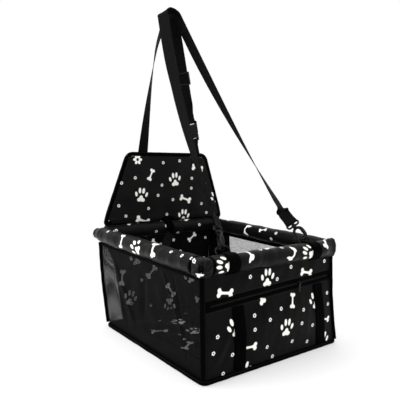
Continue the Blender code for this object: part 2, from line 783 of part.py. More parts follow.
def sleeve_profile(length, closed_end):
    """A thick-walled sleeve lying along +Z from 0 to length, with a bore for its tube."""
    bore = TUBE_RADIUS + CLEARANCE
    arc = [math.pi / 2 * step / 4 for step in range(5)]
    top = [(SLEEVE_RADIUS - SLEEVE_END_ROUND * (1 - math.sin(angle)), length - SLEEVE_END_ROUND * (1 - math.cos(angle)))
           for angle in arc]
    outer = top + [(SLEEVE_RADIUS, length * share) for share in SLEEVE_RING_SHARES] + [(SLEEVE_RADIUS, 0)]
    if closed_end:
        inner_end = length - SLEEVE_END_ROUND
        return [(0, length)] + outer + [(bore, 0), (bore, inner_end), (0, inner_end)], False
    return outer + [(bore, 0), (bore, length)], True


def make_sleeve(name, start, direction, length, closed_end):
    """A sleeve from start along a unit direction."""
    profile, closed = sleeve_profile(length, closed_end)
    sleeve = turned(name, profile, printed_fabric, closed_profile=closed)
    turn = Vector((0, 0, 1)).rotation_difference(Vector(direction)).to_matrix().to_4x4()
    sleeve.matrix_basis = Matrix.Translation(Vector(start)) @ turn
    return sleeve


def make_rim_tube(name, start, direction, length):
    """A plain plastic tube, open at both ends."""
    inner = TUBE_RADIUS - TUBE_WALL
    profile = [(TUBE_RADIUS, length), (TUBE_RADIUS, 0), (inner, 0), (inner, length)]
    tube = turned(name, profile, white_tube, steps=20, closed_profile=True)
    turn = Vector((0, 0, 1)).rotation_difference(Vector(direction)).to_matrix().to_4x4()
    tube.matrix_basis = Matrix.Translation(Vector(start)) @ turn
    return tube


def make_rim():
    end_gap = SLEEVE_RADIUS + CLEARANCE
    tube_start = 2 * CLEARANCE
    side_length = SIDE_SLEEVE_REAR - SIDE_SLEEVE_FRONT
    side_tube = side_length - SLEEVE_END_ROUND - 2 * tube_start
    for x, word in ((RIM_LEFT, "left"), (RIM_RIGHT, "right")):
        start = (x, SIDE_SLEEVE_FRONT, RIM_HEIGHT)
        make_sleeve("rim_sleeve_" + word, start, (0, 1, 0), side_length, True)
        make_rim_tube("rim_tube_" + word, (x, SIDE_SLEEVE_FRONT + tube_start, RIM_HEIGHT), (0, 1, 0), side_tube)
    rear_length = RIM_RIGHT - RIM_LEFT - 2 * end_gap
    rear_start = (RIM_LEFT + end_gap, RIM_REAR, RIM_HEIGHT)
    make_sleeve("rim_sleeve_rear", rear_start, (1, 0, 0), rear_length, False)
    tube_point = (rear_start[0] + tube_start, RIM_REAR, RIM_HEIGHT)
    make_rim_tube("rim_tube_rear", tube_point, (1, 0, 0), rear_length - 2 * tube_start)
    front_length = RIM_RIGHT + FRONT_SLEEVE_OVERHANG - RIM_LEFT - end_gap
    front_start = (RIM_LEFT + end_gap, RIM_FRONT, RIM_HEIGHT)
    make_sleeve("rim_sleeve_front", front_start, (1, 0, 0), front_length, True)
    tube_point = (front_start[0] + tube_start, RIM_FRONT, RIM_HEIGHT)
    front_tube = front_length - SLEEVE_END_ROUND - 2 * tube_start
    make_rim_tube("rim_tube_front", tube_point, (1, 0, 0), front_tube)
    make_corner_gather()


def make_corner_gather():
    """The gathered corner where the tubes are pushed in: a soft lump with an oval mouth facing out."""
    side = 2 * SLEEVE_RADIUS
    centre = (RIM_LEFT, RIM_FRONT, RIM_HEIGHT)
    lump = box("front_left_corner_gather", (side, side, side), centre, printed_fabric, CORNER_ROUND, segments=4)
    outward = unit((-1, -1, 0))
    bm = bmesh.new()
    bmesh.ops.create_cone(bm, cap_ends=True, segments=20, radius1=1, radius2=1, depth=1)
    depth = 2 * CORNER_MOUTH_DEPTH + 2 * CUT_OVERRUN
    bmesh.ops.scale(bm, vec=Vector((CORNER_MOUTH_HEIGHT / 2, CORNER_MOUTH_WIDTH / 2, depth)), verts=bm.verts)
    mouth_centre = np.array(centre) + outward * (SLEEVE_RADIUS * math.sqrt(2) - CORNER_MOUTH_DEPTH / 2 + CUT_OVERRUN)
    turn = Matrix(frame_columns((0, 0, 1), unit(np.cross(outward, (0, 0, 1))), outward)).to_4x4()
    bmesh.ops.transform(bm, matrix=Matrix.Translation(Vector(mouth_centre)) @ turn, verts=bm.verts)
    bmesh.ops.recalc_face_normals(bm, faces=bm.faces)
    combine(lump, cutter("corner_mouth", mesh_of(bm, "corner_mouth")), "DIFFERENCE")


def make_rim_band(name, x, y, bump_angle, bump, width, split):
    """Webbing round a rim sleeve, swelling by bump over what it holds, and split where the wall is sewn in."""
    radius = SLEEVE_RADIUS + CLEARANCE + WEBBING_THICKNESS / 2
    angles = np.linspace(BAND_START, BAND_END, 41) if split else np.linspace(0, 2 * math.pi, 41)
    away = (angles - bump_angle + math.pi) % (2 * math.pi) - math.pi
    reach = radius + bump * np.exp(-(away / BUMP_SPREAD) ** 2)
    zeros = np.zeros_like(angles)
    points = np.stack([x + zeros, y + reach * np.cos(angles), RIM_HEIGHT + reach * np.sin(angles)], -1)
    sideways = np.stack([zeros + 1, zeros, zeros], -1)
    return ribbon(name, points, sideways, width, black_webbing, closed=not split)


BUMP_SPREAD = 0.26
BAND_START = math.radians(-70)
BAND_END = math.radians(254)
RING_SEAT_RADIUS = SLEEVE_RADIUS + CLEARANCE + RING_WIRE
RING_BUMP = 2 * RING_WIRE + 2 * CLEARANCE


def make_rim_bands():
    for x, word in zip(RIM_BAND_PLACES, ("left", "right")):
        make_rim_band("rim_band_" + word, x, RIM_FRONT, RING_SEAT_ANGLE, RING_BUMP, WEBBING_WIDTH, True)
    make_rim_band("leash_loop", LEASH_LOOP_X, RIM_REAR, RING_SEAT_ANGLE, 0.0, LEASH_WIDTH, False)


# Snap hook, drawn upwards from the ring's wire at the origin, in its local X and Z

HOOK_BOTTOM = -(RING_WIRE + HOOK_PLAY + HOOK_WIRE)
HOOK_ROUND_Z = HOOK_BOTTOM + HOOK_HALF_WIDTH
HOOK_SHOULDER_Z = HOOK_ROUND_Z + HOOK_SIDE_LENGTH
HOOK_CROWN_Z = HOOK_SHOULDER_Z + HOOK_HALF_WIDTH
GATE_FOOT_Z = HOOK_ROUND_Z + HOOK_TIP_RISE + GATE_GAP
GATE_HEAD_Z = HOOK_SHOULDER_Z - 2 * GATE_GAP
BOSS_Z = HOOK_CROWN_Z + HOOK_WIRE + BOSS_RUNNING_GAP
HEAD_Z = BOSS_Z + BOSS_HEIGHT + BOSS_RUNNING_GAP
EYE_BAR_Z = BOSS_Z + BOSS_HEIGHT + EYE_HEIGHT


def hook_path():
    """The hook's wire: from the gate's head over the crown, down the back, round the foot to the tip."""
    points = [(-HOOK_HALF_WIDTH, 0, HOOK_SHOULDER_Z)]
    for step in range(1, 9):
        angle = math.pi * step / 8
        points.append((-HOOK_HALF_WIDTH * math.cos(angle), 0, HOOK_SHOULDER_Z + HOOK_HALF_WIDTH * math.sin(angle)))
    for step in range(0, 9):
        angle = math.pi * step / 8
        points.append((HOOK_HALF_WIDTH * math.cos(angle), 0, HOOK_ROUND_Z - HOOK_HALF_WIDTH * math.sin(angle)))
    points.append((-HOOK_HALF_WIDTH, 0, HOOK_ROUND_Z + HOOK_TIP_RISE))
    return points


def make_hook(name, spinner):
    """The snap hook with the swivel post that turns in the eye's boss."""
    wire = solid_from_curve(tube_curve(name, hook_path(), HOOK_WIRE, black_metal, parent=spinner))
    post_start = HOOK_CROWN_Z
    post_length = HEAD_Z + POST_HEAD_HEIGHT / 2 - post_start
    post_centre = (0, 0, post_start + post_length / 2)
    post = cylinder_mesh("post", POST_RADIUS, post_length, post_centre, (0, 0, 1), 14)
    head_centre = (0, 0, HEAD_Z + POST_HEAD_HEIGHT / 2)
    head = cylinder_mesh("post_head", POST_HEAD_RADIUS, POST_HEAD_HEIGHT, head_centre, (0, 0, 1), 14)
    combine(wire, cutter(name + "_post", post, spinner), "UNION")
    combine(wire, cutter(name + "_post_head", head, spinner), "UNION")
    return wire


def make_gate(name, spinner):
    """The sprung gate, hinged at its head, with a thumb stud outside."""
    hinge = empty(name + "_hinge", (-HOOK_HALF_WIDTH, 0, GATE_HEAD_Z - GATE_WIRE), parent=spinner)
    length = GATE_HEAD_Z - GATE_FOOT_Z
    bar = cylinder_mesh(name, GATE_WIRE, length, (0, 0, GATE_WIRE - length / 2), (0, 0, 1), 12)
    gate = add_object(name, bar, black_metal, hinge)
    stud_centre = (-GATE_STUD_REACH / 2, 0, -length / 2)
    stud = cylinder_mesh("stud", GATE_STUD_RADIUS, GATE_STUD_REACH, stud_centre, (1, 0, 0), 12)
    combine(gate, cutter(name + "_stud", stud, hinge), "UNION")
    return gate


def make_eye(name, axis_frame):
    """The webbing eye: a boss bored for the swivel post, under a wide wire loop."""
    boss_centre = (0, 0, BOSS_Z + BOSS_HEIGHT / 2)
    boss = cylinder_mesh(name, BOSS_RADIUS, BOSS_HEIGHT, boss_centre, (0, 0, 1), 18)
    eye = add_object(name, boss, black_plastic, axis_frame)
    low_z = BOSS_Z + BOSS_HEIGHT / 2
    loop = [(-EYE_HALF_WIDTH, 0, low_z), (EYE_HALF_WIDTH, 0, low_z),
            (EYE_HALF_WIDTH, 0, EYE_BAR_Z), (-EYE_HALF_WIDTH, 0, EYE_BAR_Z)]
    points = round_corners(loop, EYE_WIRE * 1.5)
    wire = solid_from_curve(tube_curve(name + "_loop", points, EYE_WIRE, None, True, axis_frame, CUTTERS))
    wire.hide_render = True
    wire.display_type = "WIRE"
    combine(eye, wire, "UNION")
    bore = cylinder_mesh("bore", POST_RADIUS + BOSS_RUNNING_GAP, 2 * BOSS_HEIGHT, boss_centre, (0, 0, 1), 14)
    combine(eye, cutter(name + "_bore", bore, axis_frame), "DIFFERENCE")
    return eye


def round_corners(corners, radius):
    """The closed outline with each corner replaced by three points of a small arc."""
    points = []
    count = len(corners)
    for index in range(count):
        corner = np.array(corners[index], float)
        back = unit(np.array(corners[index - 1], float) - corner)
        ahead = unit(np.array(corners[(index + 1) % count], float) - corner)
        middle = corner + (back + ahead) * radius * (1 - math.sqrt(0.5))
        points += [corner + back * radius, middle, corner + ahead * radius]
    return points


def make_ring(name, frame):
    """The D ring: a straight bar held by the rim band and an arch that the hook passes through."""
    straight = RING_REACH - RING_HALF_WIDTH * RING_ARCH_SHARE
    points = [(-RING_HALF_WIDTH, 0, 0), (RING_HALF_WIDTH, 0, 0), (RING_HALF_WIDTH, 0, straight)]
    for step in range(1, 10):
        angle = math.pi * step / 10
        x = RING_HALF_WIDTH * math.cos(angle)
        points.append((x, 0, straight + (RING_REACH - straight) * math.sin(angle)))
    points.append((-RING_HALF_WIDTH, 0, straight))
    return tube_curve(name, points, RING_WIRE, black_metal, cyclic=True, parent=frame)


RING_ARCH_SHARE = 0.5


def hook_side(word):
    """Each strap end: where its ring sits, which way its hook points and how far the hook is turned."""
    if word == "left":
        return RIM_BAND_PLACES[0], LEFT_HOOK_LEAN, LEFT_HOOK_TILT, LEFT_HOOK_TURN
    return RIM_BAND_PLACES[1], RIGHT_HOOK_LEAN, -RIGHT_HOOK_TILT, RIGHT_HOOK_TURN


def ring_seat(word):
    """The ring bar's centre, on the sleeve's inner shoulder."""
    x = hook_side(word)[0]
    y = RIM_FRONT + RING_SEAT_RADIUS * math.cos(RING_SEAT_ANGLE)
    z = RIM_HEIGHT + RING_SEAT_RADIUS * math.sin(RING_SEAT_ANGLE)
    return np.array([x, y, z])


def hook_axis(word):
    """The unit direction of the hook and its strap end."""
    _, lean, tilt, _ = hook_side(word)
    return np.array([math.sin(tilt), math.cos(tilt) * math.sin(lean), math.cos(tilt) * math.cos(lean)])


def ring_top(word):
    lean = hook_side(word)[1]
    return ring_seat(word) + RING_REACH * np.array([0, math.sin(lean), math.cos(lean)])


def eye_bar_centre(word):
    return ring_top(word) + hook_axis(word) * EYE_BAR_Z


def make_strap_end(word):
    """Ring, hook, gate and eye of one lower strap end."""
    _, lean, _, turn = hook_side(word)
    upright = (0, math.sin(lean), math.cos(lean))
    ring_frame = empty("ring_frame_" + word, ring_seat(word),
                       frame_columns((1, 0, 0), (0, math.cos(lean), -math.sin(lean)), upright))
    make_ring("d_ring_" + word, ring_frame)
    up = hook_axis(word)
    side = strap_side(word)
    forward = np.cross(up, side)
    axis_frame = empty("eye_frame_" + word, ring_top(word), frame_columns(side, forward, up))
    make_eye("swivel_eye_" + word, axis_frame)
    plain = unit(np.cross((1, 0, 0), up))
    level = np.cross(plain, up)
    spin_x = math.cos(turn) * plain + math.sin(turn) * level
    spin_y = np.cross(up, spin_x)
    spinner = empty("swivel_frame_" + word, ring_top(word), frame_columns(spin_x, spin_y, up))
    make_hook("snap_hook_" + word, spinner)
    make_gate("hook_gate_" + word, spinner)


# Strap loops

APEX = np.array([APEX_X, APEX_Y, APEX_Z])


def loop_upward():
    """The direction in the hook strap's plane from its lower ends to its top."""
    low = (eye_bar_centre("left") + eye_bar_centre("right")) / 2
    slope = APEX - low
    slope[0] = 0
    return unit(slope)


def loop_normal():
    return np.cross((1, 0, 0), loop_upward())


def strap_side(word):
    """The way the webbing's width lies at a lower strap end: the right end is turned a quarter."""
    up = hook_axis(word)
    if word == "left":
        side = loop_normal()
    else:
        side = np.array([1.0, 0, 0])
    return unit(side - up * np.dot(side, up))


def fold_round_bar(centre, up, side, bar, tail):
    """A webbing end folded round a bar: the tail, the half turn, and the start of the leg."""
    face = np.cross(up, side)
    radius = bar + CLEARANCE + WEBBING_THICKNESS / 2
    beside = WEBBING_THICKNESS / 2 + CLEARANCE
    points = [centre + face * beside + up * (STRAP_PINCH + tail), centre + face * beside + up * STRAP_PINCH,
              centre + face * (beside + radius) / 2 + up * STRAP_PINCH / 2]
    for step in range(9):
        angle = math.pi * step / 8
        points.append(centre + radius * (face * math.cos(angle) - up * math.sin(angle)))
    points.append(centre - face * (beside + radius) / 2 + up * STRAP_PINCH / 2)
    points.append(centre - face * beside + up * STRAP_PINCH)
    points.append(centre - face * beside + up * (STRAP_PINCH + tail * 1.1))
    return points


def leg_points(start, end, sag_direction, sag, count):
    share = np.linspace(0, 1, count)[:, None]
    return start + (end - start) * share + sag_direction * sag * 4 * share * (1 - share)


def arch_points(centre, upward, half, rise, count):
    """The turn over the top, from the left leg to the right one."""
    angle = np.linspace(math.pi, 0, count)[:, None]
    return centre + np.array([half, 0, 0]) * np.cos(angle) + upward * rise * np.sin(angle)


def make_hook_strap():
    """The long strap: one piece of webbing from the left eye over the top to the right eye."""
    upward = loop_upward()
    normal = loop_normal()
    feet = {"left": APEX - np.array([HOOK_STRAP_APEX_HALF, 0, 0]), "right": APEX + np.array([HOOK_STRAP_APEX_HALF, 0, 0])}
    points = []
    sideways = []
    ends = {}
    for word in ("left", "right"):
        centre = eye_bar_centre(word)
        up = hook_axis(word)
        side = strap_side(word)
        ends[word] = (fold_round_bar(centre, up, side, EYE_WIRE, STRAP_TAIL), side)
    left_fold, left_side = ends["left"]
    right_fold, right_side = ends["right"]
    left_leg = leg_points(left_fold[-1], feet["left"], -normal, STRAP_SAG, 16)[1:]
    right_leg = leg_points(feet["right"], right_fold[-1], -normal, STRAP_SAG, 22)[:-1]
    arch = arch_points(APEX, upward, HOOK_STRAP_APEX_HALF, HOOK_STRAP_ARCH_RISE, 11)[1:-1]
    points = left_fold + list(left_leg) + list(arch) + list(right_leg) + right_fold[::-1]
    sideways = [left_side] * len(left_fold)
    blend = smooth_step(np.linspace(0, 1, len(left_leg)), 0, LEFT_TURN_END_SHARE)[:, None]
    sideways += list(normalised(left_side * (1 - blend) + normal * blend))
    sideways += [normal] * len(arch)
    turn = -math.pi / 2 * smooth_step(np.linspace(0, 1, len(right_leg)), RIGHT_TURN_START_SHARE, 1)
    sideways += list(turning_sides(right_leg, normal, turn))
    last = sideways[-1]
    right_side = right_side if np.dot(last, right_side) > 0 else -right_side
    sideways += [right_side] * len(right_fold)
    ribbon("hook_strap", points, sideways, WEBBING_WIDTH, black_webbing)


def normalised(vectors):
    return vectors / np.linalg.norm(vectors, axis=-1, keepdims=True)


def turning_sides(points, first, angles):
    """Width directions along a leg that turn from first by angles about the leg's own line."""
    points = np.asarray(points)
    tangents = normalised(np.gradient(points, axis=0))
    sides = []
    for tangent, angle in zip(tangents, angles):
        flat = unit(first - tangent * np.dot(first, tangent))
        other = np.cross(-tangent, flat)
        sides.append(flat * math.cos(angle) + other * math.sin(angle))
    return np.array(sides)


FLAP_RISE = FLAP_BINDING_WIDTH / 2 - FLAP_BINDING_THICKNESS / 2
FLAP_AXIS_Y = RIM_REAR
FLAP_AXIS_Z = RIM_HEIGHT + SLEEVE_RADIUS + WEBBING_THICKNESS + 2 * CLEARANCE + FLAP_BINDING_THICKNESS / 2
STRAP_AXIS_Y = FLAP_AXIS_Y + FLAP_BINDING_THICKNESS / 2 + FLAP_STRAP_GAP + WEBBING_THICKNESS / 2
STRAP_AXIS_Z = FLAP_TOP_HEIGHT - FLAP_STRAP_OVERLAP
FLAP_STRAP_FEET = {"left": np.array([FLAP_STRAP_LEFT_X, STRAP_AXIS_Y, STRAP_AXIS_Z]),
                   "right": np.array([FLAP_STRAP_RIGHT_X, STRAP_AXIS_Y, STRAP_AXIS_Z])}
FLAP_STRAP_APEX = APEX + np.array([FLAP_STRAP_APEX_SHIFT, 0, -FLAP_STRAP_APEX_DROP])
FLAP_STRAP_HEADS = {"left": FLAP_STRAP_APEX - np.array([FLAP_STRAP_APEX_HALF, 0, 0]),
                    "right": FLAP_STRAP_APEX + np.array([FLAP_STRAP_APEX_HALF, 0, 0])}


def right_leg_point(z):
    """The right flap strap leg's centre line at height z."""
    foot, head = FLAP_STRAP_FEET["right"], FLAP_STRAP_HEADS["right"]
    return foot + (head - foot) * (z - foot[2]) / (head[2] - foot[2])


RIGHT_LEG_UP = unit(FLAP_STRAP_HEADS["right"] - FLAP_STRAP_FEET["right"])


def right_leg_side(angle):
    """The webbing's width direction on the right leg, turned by angle from facing forward."""
    flat = unit(np.array([1.0, 0, 0]) - RIGHT_LEG_UP * RIGHT_LEG_UP[0])
    return flat * math.cos(angle) + np.cross(RIGHT_LEG_UP, flat) * math.sin(angle)


def make_flap_strap():
    """The flap's strap: left leg with half a turn of twist, the top, and the right leg to the buckle."""
    foot, head = FLAP_STRAP_FEET["left"], FLAP_STRAP_HEADS["left"]
    left_leg = leg_points(foot, head, np.zeros(3), 0.0, 18)
    share = np.linspace(0, 1, len(left_leg))
    turn = math.pi / 2 * share
    left_sides = np.stack([np.cos(turn), np.sin(turn), np.zeros_like(turn)], -1)
    arch = arch_points(FLAP_STRAP_APEX, np.array([0, 0, 1.0]), FLAP_STRAP_APEX_HALF, FLAP_STRAP_ARCH_RISE, 11)[1:-1]
    arch_sides = np.tile([0.0, 1.0, 0.0], (len(arch), 1))
    bar = right_leg_point(BUCKLE_HEIGHT) + RIGHT_LEG_UP * (FEMALE_LENGTH - SLOT_BAR / 2)
    fold = fold_round_bar(bar, RIGHT_LEG_UP, right_leg_side(0), SLOT_BAR_REACH, STRAP_TAIL / 2)
    top, bottom = FLAP_STRAP_HEADS["right"][2], fold[-1][2]
    flat_half = GLIDE_LENGTH / 2 + GLIDE_TRAVEL + 2 * CLEARANCE
    flat_top, flat_bottom = GLIDE_HEIGHT + flat_half, GLIDE_HEIGHT - flat_half
    heights = np.concatenate([np.linspace(top, flat_top, 9), np.linspace(flat_bottom, bottom, 8)[:-1]])
    right_leg = np.array([right_leg_point(z) for z in heights])
    upper_turn = -math.pi / 2 + (math.pi / 2 + GLIDE_TURN) * smooth_step(-heights, -top, -flat_top)
    lower_turn = GLIDE_TURN * (1 - smooth_step(-heights, -flat_bottom, -bottom))
    turn = np.where(heights > GLIDE_HEIGHT, upper_turn, lower_turn)
    right_sides = np.array([-right_leg_side(angle) for angle in turn])
    points = np.concatenate([left_leg, arch, right_leg, np.array(fold[::-1])])
    fold_side = -right_leg_side(0)
    sides = np.concatenate([left_sides, arch_sides, right_sides, np.tile(fold_side, (len(fold), 1))])
    ribbon("flap_strap", points, sides, WEBBING_WIDTH, black_webbing)


def buckle_frame():
    """The buckle's frame: its X across the webbing, its Z up the strap, its origin where the halves meet."""
    side = right_leg_side(0)
    forward = np.cross(RIGHT_LEG_UP, side)
    return empty("buckle_frame", right_leg_point(BUCKLE_HEIGHT), frame_columns(side, forward, RIGHT_LEG_UP))


def make_buckle():
    frame = buckle_frame()
    round_width = BUCKLE_THICKNESS / 5
    female = box("buckle_female", (BUCKLE_WIDTH, BUCKLE_THICKNESS, FEMALE_LENGTH), (0, 0, FEMALE_LENGTH / 2),
                 black_plastic, round_width, frame)
    cavity_width = BUCKLE_WIDTH - 2 * FEMALE_WALL
    cavity_thickness = BUCKLE_THICKNESS - 2 * FEMALE_WALL
    cavity = box_mesh("cavity", (cavity_width, cavity_thickness, FEMALE_CAVITY_LENGTH + CUT_OVERRUN),
                      (0, 0, (FEMALE_CAVITY_LENGTH - CUT_OVERRUN) / 2))
    window = box_mesh("window", (2 * BUCKLE_WIDTH, cavity_thickness / 1.5, WINDOW_LENGTH),
                      (0, 0, WINDOW_START + WINDOW_LENGTH / 2))
    slot_z = FEMALE_LENGTH - SLOT_BAR - SLOT_HEIGHT / 2
    slot = box_mesh("slot", (SLOT_WIDTH, 2 * BUCKLE_THICKNESS, SLOT_HEIGHT), (0, 0, slot_z))
    thin = box_mesh("bar_relief", (SLOT_WIDTH, BUCKLE_THICKNESS, SLOT_BAR + CUT_OVERRUN),
                    (0, BUCKLE_THICKNESS / 2 + SLOT_BAR / 2, FEMALE_LENGTH - SLOT_BAR / 2 + CUT_OVERRUN / 2))
    thin_back = box_mesh("bar_relief_back", (SLOT_WIDTH, BUCKLE_THICKNESS, SLOT_BAR + CUT_OVERRUN),
                         (0, -BUCKLE_THICKNESS / 2 - SLOT_BAR / 2, FEMALE_LENGTH - SLOT_BAR / 2 + CUT_OVERRUN / 2))
    for mesh in (cavity, window, slot, thin, thin_back):
        combine(female, cutter("female_" + mesh.name, mesh, frame), "DIFFERENCE")
    make_male(frame, cavity_width, cavity_thickness)
    make_stub(frame)


def make_male(frame, cavity_width, cavity_thickness):
    """The plug half: a base with a slot, two prongs and a middle guide inside the socket half."""
    base_size = (BUCKLE_WIDTH - 2 * PRONG_SLACK, BUCKLE_THICKNESS, MALE_LENGTH - CLEARANCE)
    base_centre = (0, 0, -MALE_LENGTH / 2 - CLEARANCE / 2)
    male = box("buckle_male", base_size, base_centre, black_plastic, BUCKLE_THICKNESS / 5, frame)
    prong_thickness = cavity_thickness - 2 * PRONG_SLACK
    prong_x = cavity_width / 2 - PRONG_SLACK - PRONG_WIDTH / 2
    root = MALE_LENGTH / 4
    for side in (-1, 1):
        size = (PRONG_WIDTH, prong_thickness, PRONG_LENGTH + root)
        prong = box_mesh("prong", size, (side * prong_x, 0, (PRONG_LENGTH - root) / 2))
        combine(male, cutter("prong_%d" % side, prong, frame), "UNION")
    guide = box_mesh("guide", (PRONG_WIDTH / 2, prong_thickness, GUIDE_LENGTH + root), (0, 0, (GUIDE_LENGTH - root) / 2))
    combine(male, cutter("guide", guide, frame), "UNION")
    slot = box_mesh("male_slot", (SLOT_WIDTH, 2 * BUCKLE_THICKNESS, SLOT_HEIGHT),
                    (0, 0, SLOT_BAR + SLOT_HEIGHT / 2 - MALE_LENGTH))
    relief_centre = BUCKLE_THICKNESS / 2 + SLOT_BAR / 2
    combine(male, cutter("male_slot", slot, frame), "DIFFERENCE")
    for side in (-1, 1):
        relief = box_mesh("male_relief", (SLOT_WIDTH, BUCKLE_THICKNESS, SLOT_BAR + CUT_OVERRUN),
                          (0, side * relief_centre, SLOT_BAR / 2 - CUT_OVERRUN / 2 - MALE_LENGTH))
        combine(male, cutter("male_relief_%d" % side, relief, frame), "DIFFERENCE")


def make_stub(frame):
    """The short webbing from the flap's top to the plug half, folded round its bar."""
    side = right_leg_side(0)
    bar = right_leg_point(BUCKLE_HEIGHT) + RIGHT_LEG_UP * (SLOT_BAR / 2 - MALE_LENGTH)
    foot = FLAP_STRAP_FEET["right"]
    fold = fold_round_bar(bar, -RIGHT_LEG_UP, side, SLOT_BAR_REACH, CUT_OVERRUN)
    level = side - RIGHT_LEG_UP * (side[2] / RIGHT_LEG_UP[2])
    points = fold + [foot]
    sides = [side] * len(fold) + [level]
    ribbon("flap_strap_stub", points, sides, WEBBING_WIDTH, black_webbing)


def make_glide():
    """The sliding adjuster: two outer bars in front of the webbing and one behind it."""
    side = right_leg_side(GLIDE_TURN)
    forward = np.cross(RIGHT_LEG_UP, side)
    frame = empty("glide_frame", right_leg_point(GLIDE_HEIGHT), frame_columns(side, forward, RIGHT_LEG_UP))
    bar_off = WEBBING_THICKNESS / 2 + CLEARANCE + GLIDE_BAR_THICKNESS / 2
    inner = WEBBING_WIDTH / 2 + CLEARANCE * 2
    full = inner + GLIDE_RAIL_WIDTH
    rail_thickness = 2 * (bar_off + GLIDE_BAR_THICKNESS / 2)
    glide = box("strap_glide", (GLIDE_RAIL_WIDTH, rail_thickness, GLIDE_LENGTH), (-inner - GLIDE_RAIL_WIDTH / 2, 0, 0),
                black_plastic, 0.0, frame)
    rail = box_mesh("rail", (GLIDE_RAIL_WIDTH, rail_thickness, GLIDE_LENGTH), (inner + GLIDE_RAIL_WIDTH / 2, 0, 0))
    bar_width = 2 * full - GLIDE_RAIL_WIDTH
    bar_reach = GLIDE_LENGTH / 2 - GLIDE_BAR_WIDTH / 2 - CLEARANCE
    pieces = [rail]
    for place, face in ((-bar_reach, -1), (0.0, 1), (bar_reach, -1)):
        pieces.append(box_mesh("bar", (bar_width, GLIDE_BAR_THICKNESS, GLIDE_BAR_WIDTH), (0, face * bar_off, place)))
    for index, mesh in enumerate(pieces):
        combine(glide, cutter("glide_piece_%d" % index, mesh, frame), "UNION")


# Flap

def flap_outline(inset):
    """The flap's outline in its own plane, inset from the middle of its binding, with round corners."""
    low = inset
    high = FLAP_TOP_HEIGHT - FLAP_AXIS_Z - FLAP_RISE - FLAP_BINDING_WIDTH / 2 - inset
    slope = (FLAP_BOTTOM_WIDTH - FLAP_TOP_WIDTH) / 2 / (FLAP_TOP_HEIGHT - FLAP_AXIS_Z)
    lean = math.hypot(1, slope)
    low_half = FLAP_BOTTOM_WIDTH / 2 - FLAP_BINDING_WIDTH / 2 * lean - inset * lean - slope * low
    high_half = low_half - slope * (high - low)
    side_normal = math.atan(slope)
    top = corner_arc(high_half, high, -1, FLAP_CORNER_RADIUS - inset, side_normal, math.pi / 2)
    foot = corner_arc(low_half, low, 1, FLAP_FOOT_RADIUS - inset, -math.pi / 2, side_normal)
    right = foot + top
    return right + [(-x, z) for x, z in right[::-1]]


def corner_arc(x, z, inwards, radius, start, end):
    """A round corner whose two straight sides would meet at (x, z), from one side's normal to the other's."""
    setback = radius * math.tan((end - start) / 2)
    centre = (x - setback, z + inwards * radius)
    angles = np.linspace(start, end, FLAP_CORNER_STEPS)
    return [(centre[0] + radius * math.cos(angle), centre[1] + radius * math.sin(angle)) for angle in angles]


def stadium_curve():
    """The flap binding's section: a flat bar with round edges."""
    curve = bpy.data.curves.new("flap_binding_section", "CURVE")
    curve.dimensions = "2D"
    spline = curve.splines.new("POLY")
    radius = FLAP_BINDING_THICKNESS / 2
    reach = FLAP_BINDING_WIDTH / 2 - radius
    section = []
    for end in (1, -1):
        for step in range(5):
            angle = math.pi * step / 4 - math.pi / 2 + (0 if end > 0 else math.pi)
            section.append((radius * math.sin(angle), end * reach + radius * math.cos(angle)))
    spline.points.add(len(section) - 1)
    for target, (x, y) in zip(spline.points, section):
        target.co = (x, y, 0, 1)
    spline.use_cyclic_u = True
    item = bpy.data.objects.new("flap_binding_section", curve)
    CUTTERS.objects.link(item)
    item.hide_render = True
    item.display_type = "WIRE"
    return item


def flap_frame():
    return empty("flap_frame", (0, FLAP_AXIS_Y, FLAP_AXIS_Z))


def make_flap():
    frame = flap_frame()
    outline = [(x, 0, z + FLAP_RISE) for x, z in flap_outline(0.0)]
    curve = bpy.data.curves.new("flap_binding", "CURVE")
    curve.dimensions = "3D"
    curve.twist_mode = "Z_UP"
    curve.bevel_mode = "OBJECT"
    curve.bevel_object = stadium_curve()
    spline = curve.splines.new("POLY")
    spline.points.add(len(outline) - 1)
    for target, point in zip(spline.points, outline):
        target.co = (*point, 1.0)
    spline.use_cyclic_u = True
    add_object("flap_binding", curve, binding_tape, frame)
    inset = FLAP_BINDING_WIDTH / 2 + CLEARANCE
    face_y = FLAP_BOARD_THICKNESS / 2 + CLEARANCE + FLAP_FACE_THICKNESS / 2
    flap_plate("flap_board", inset, 0.0, FLAP_BOARD_THICKNESS, 0.0, grey_board, frame)
    flap_plate("flap_front_panel", inset, -face_y, FLAP_FACE_THICKNESS, -FLAP_CROWN, printed_fabric, frame)
    flap_plate("flap_back_panel", inset, face_y, FLAP_FACE_THICKNESS, 0.0, printed_fabric, frame)


def flap_plate(name, inset, middle, thickness, crown, finish, frame):
    """One layer of the flap: a trapezoid with round top corners, swelling by crown at its middle."""
    outline = np.array(flap_outline(inset))
    low, high = outline[:, 1].min(), outline[:, 1].max()
    order = np.argsort(outline[:, 1])
    right = outline[order][outline[order][:, 0] > 0]

    def place(u, v):
        z = low + (high - low) * v
        half = np.interp(z, right[:, 1], right[:, 0])
        bulge = crown * np.sin(math.pi * u) * np.sin(math.pi * v)
        return np.stack([half * (2 * u - 1), middle + bulge, z + FLAP_RISE], -1)
    return sheet(name, place, 12, 14, thickness, finish, parent=frame)


# Leash

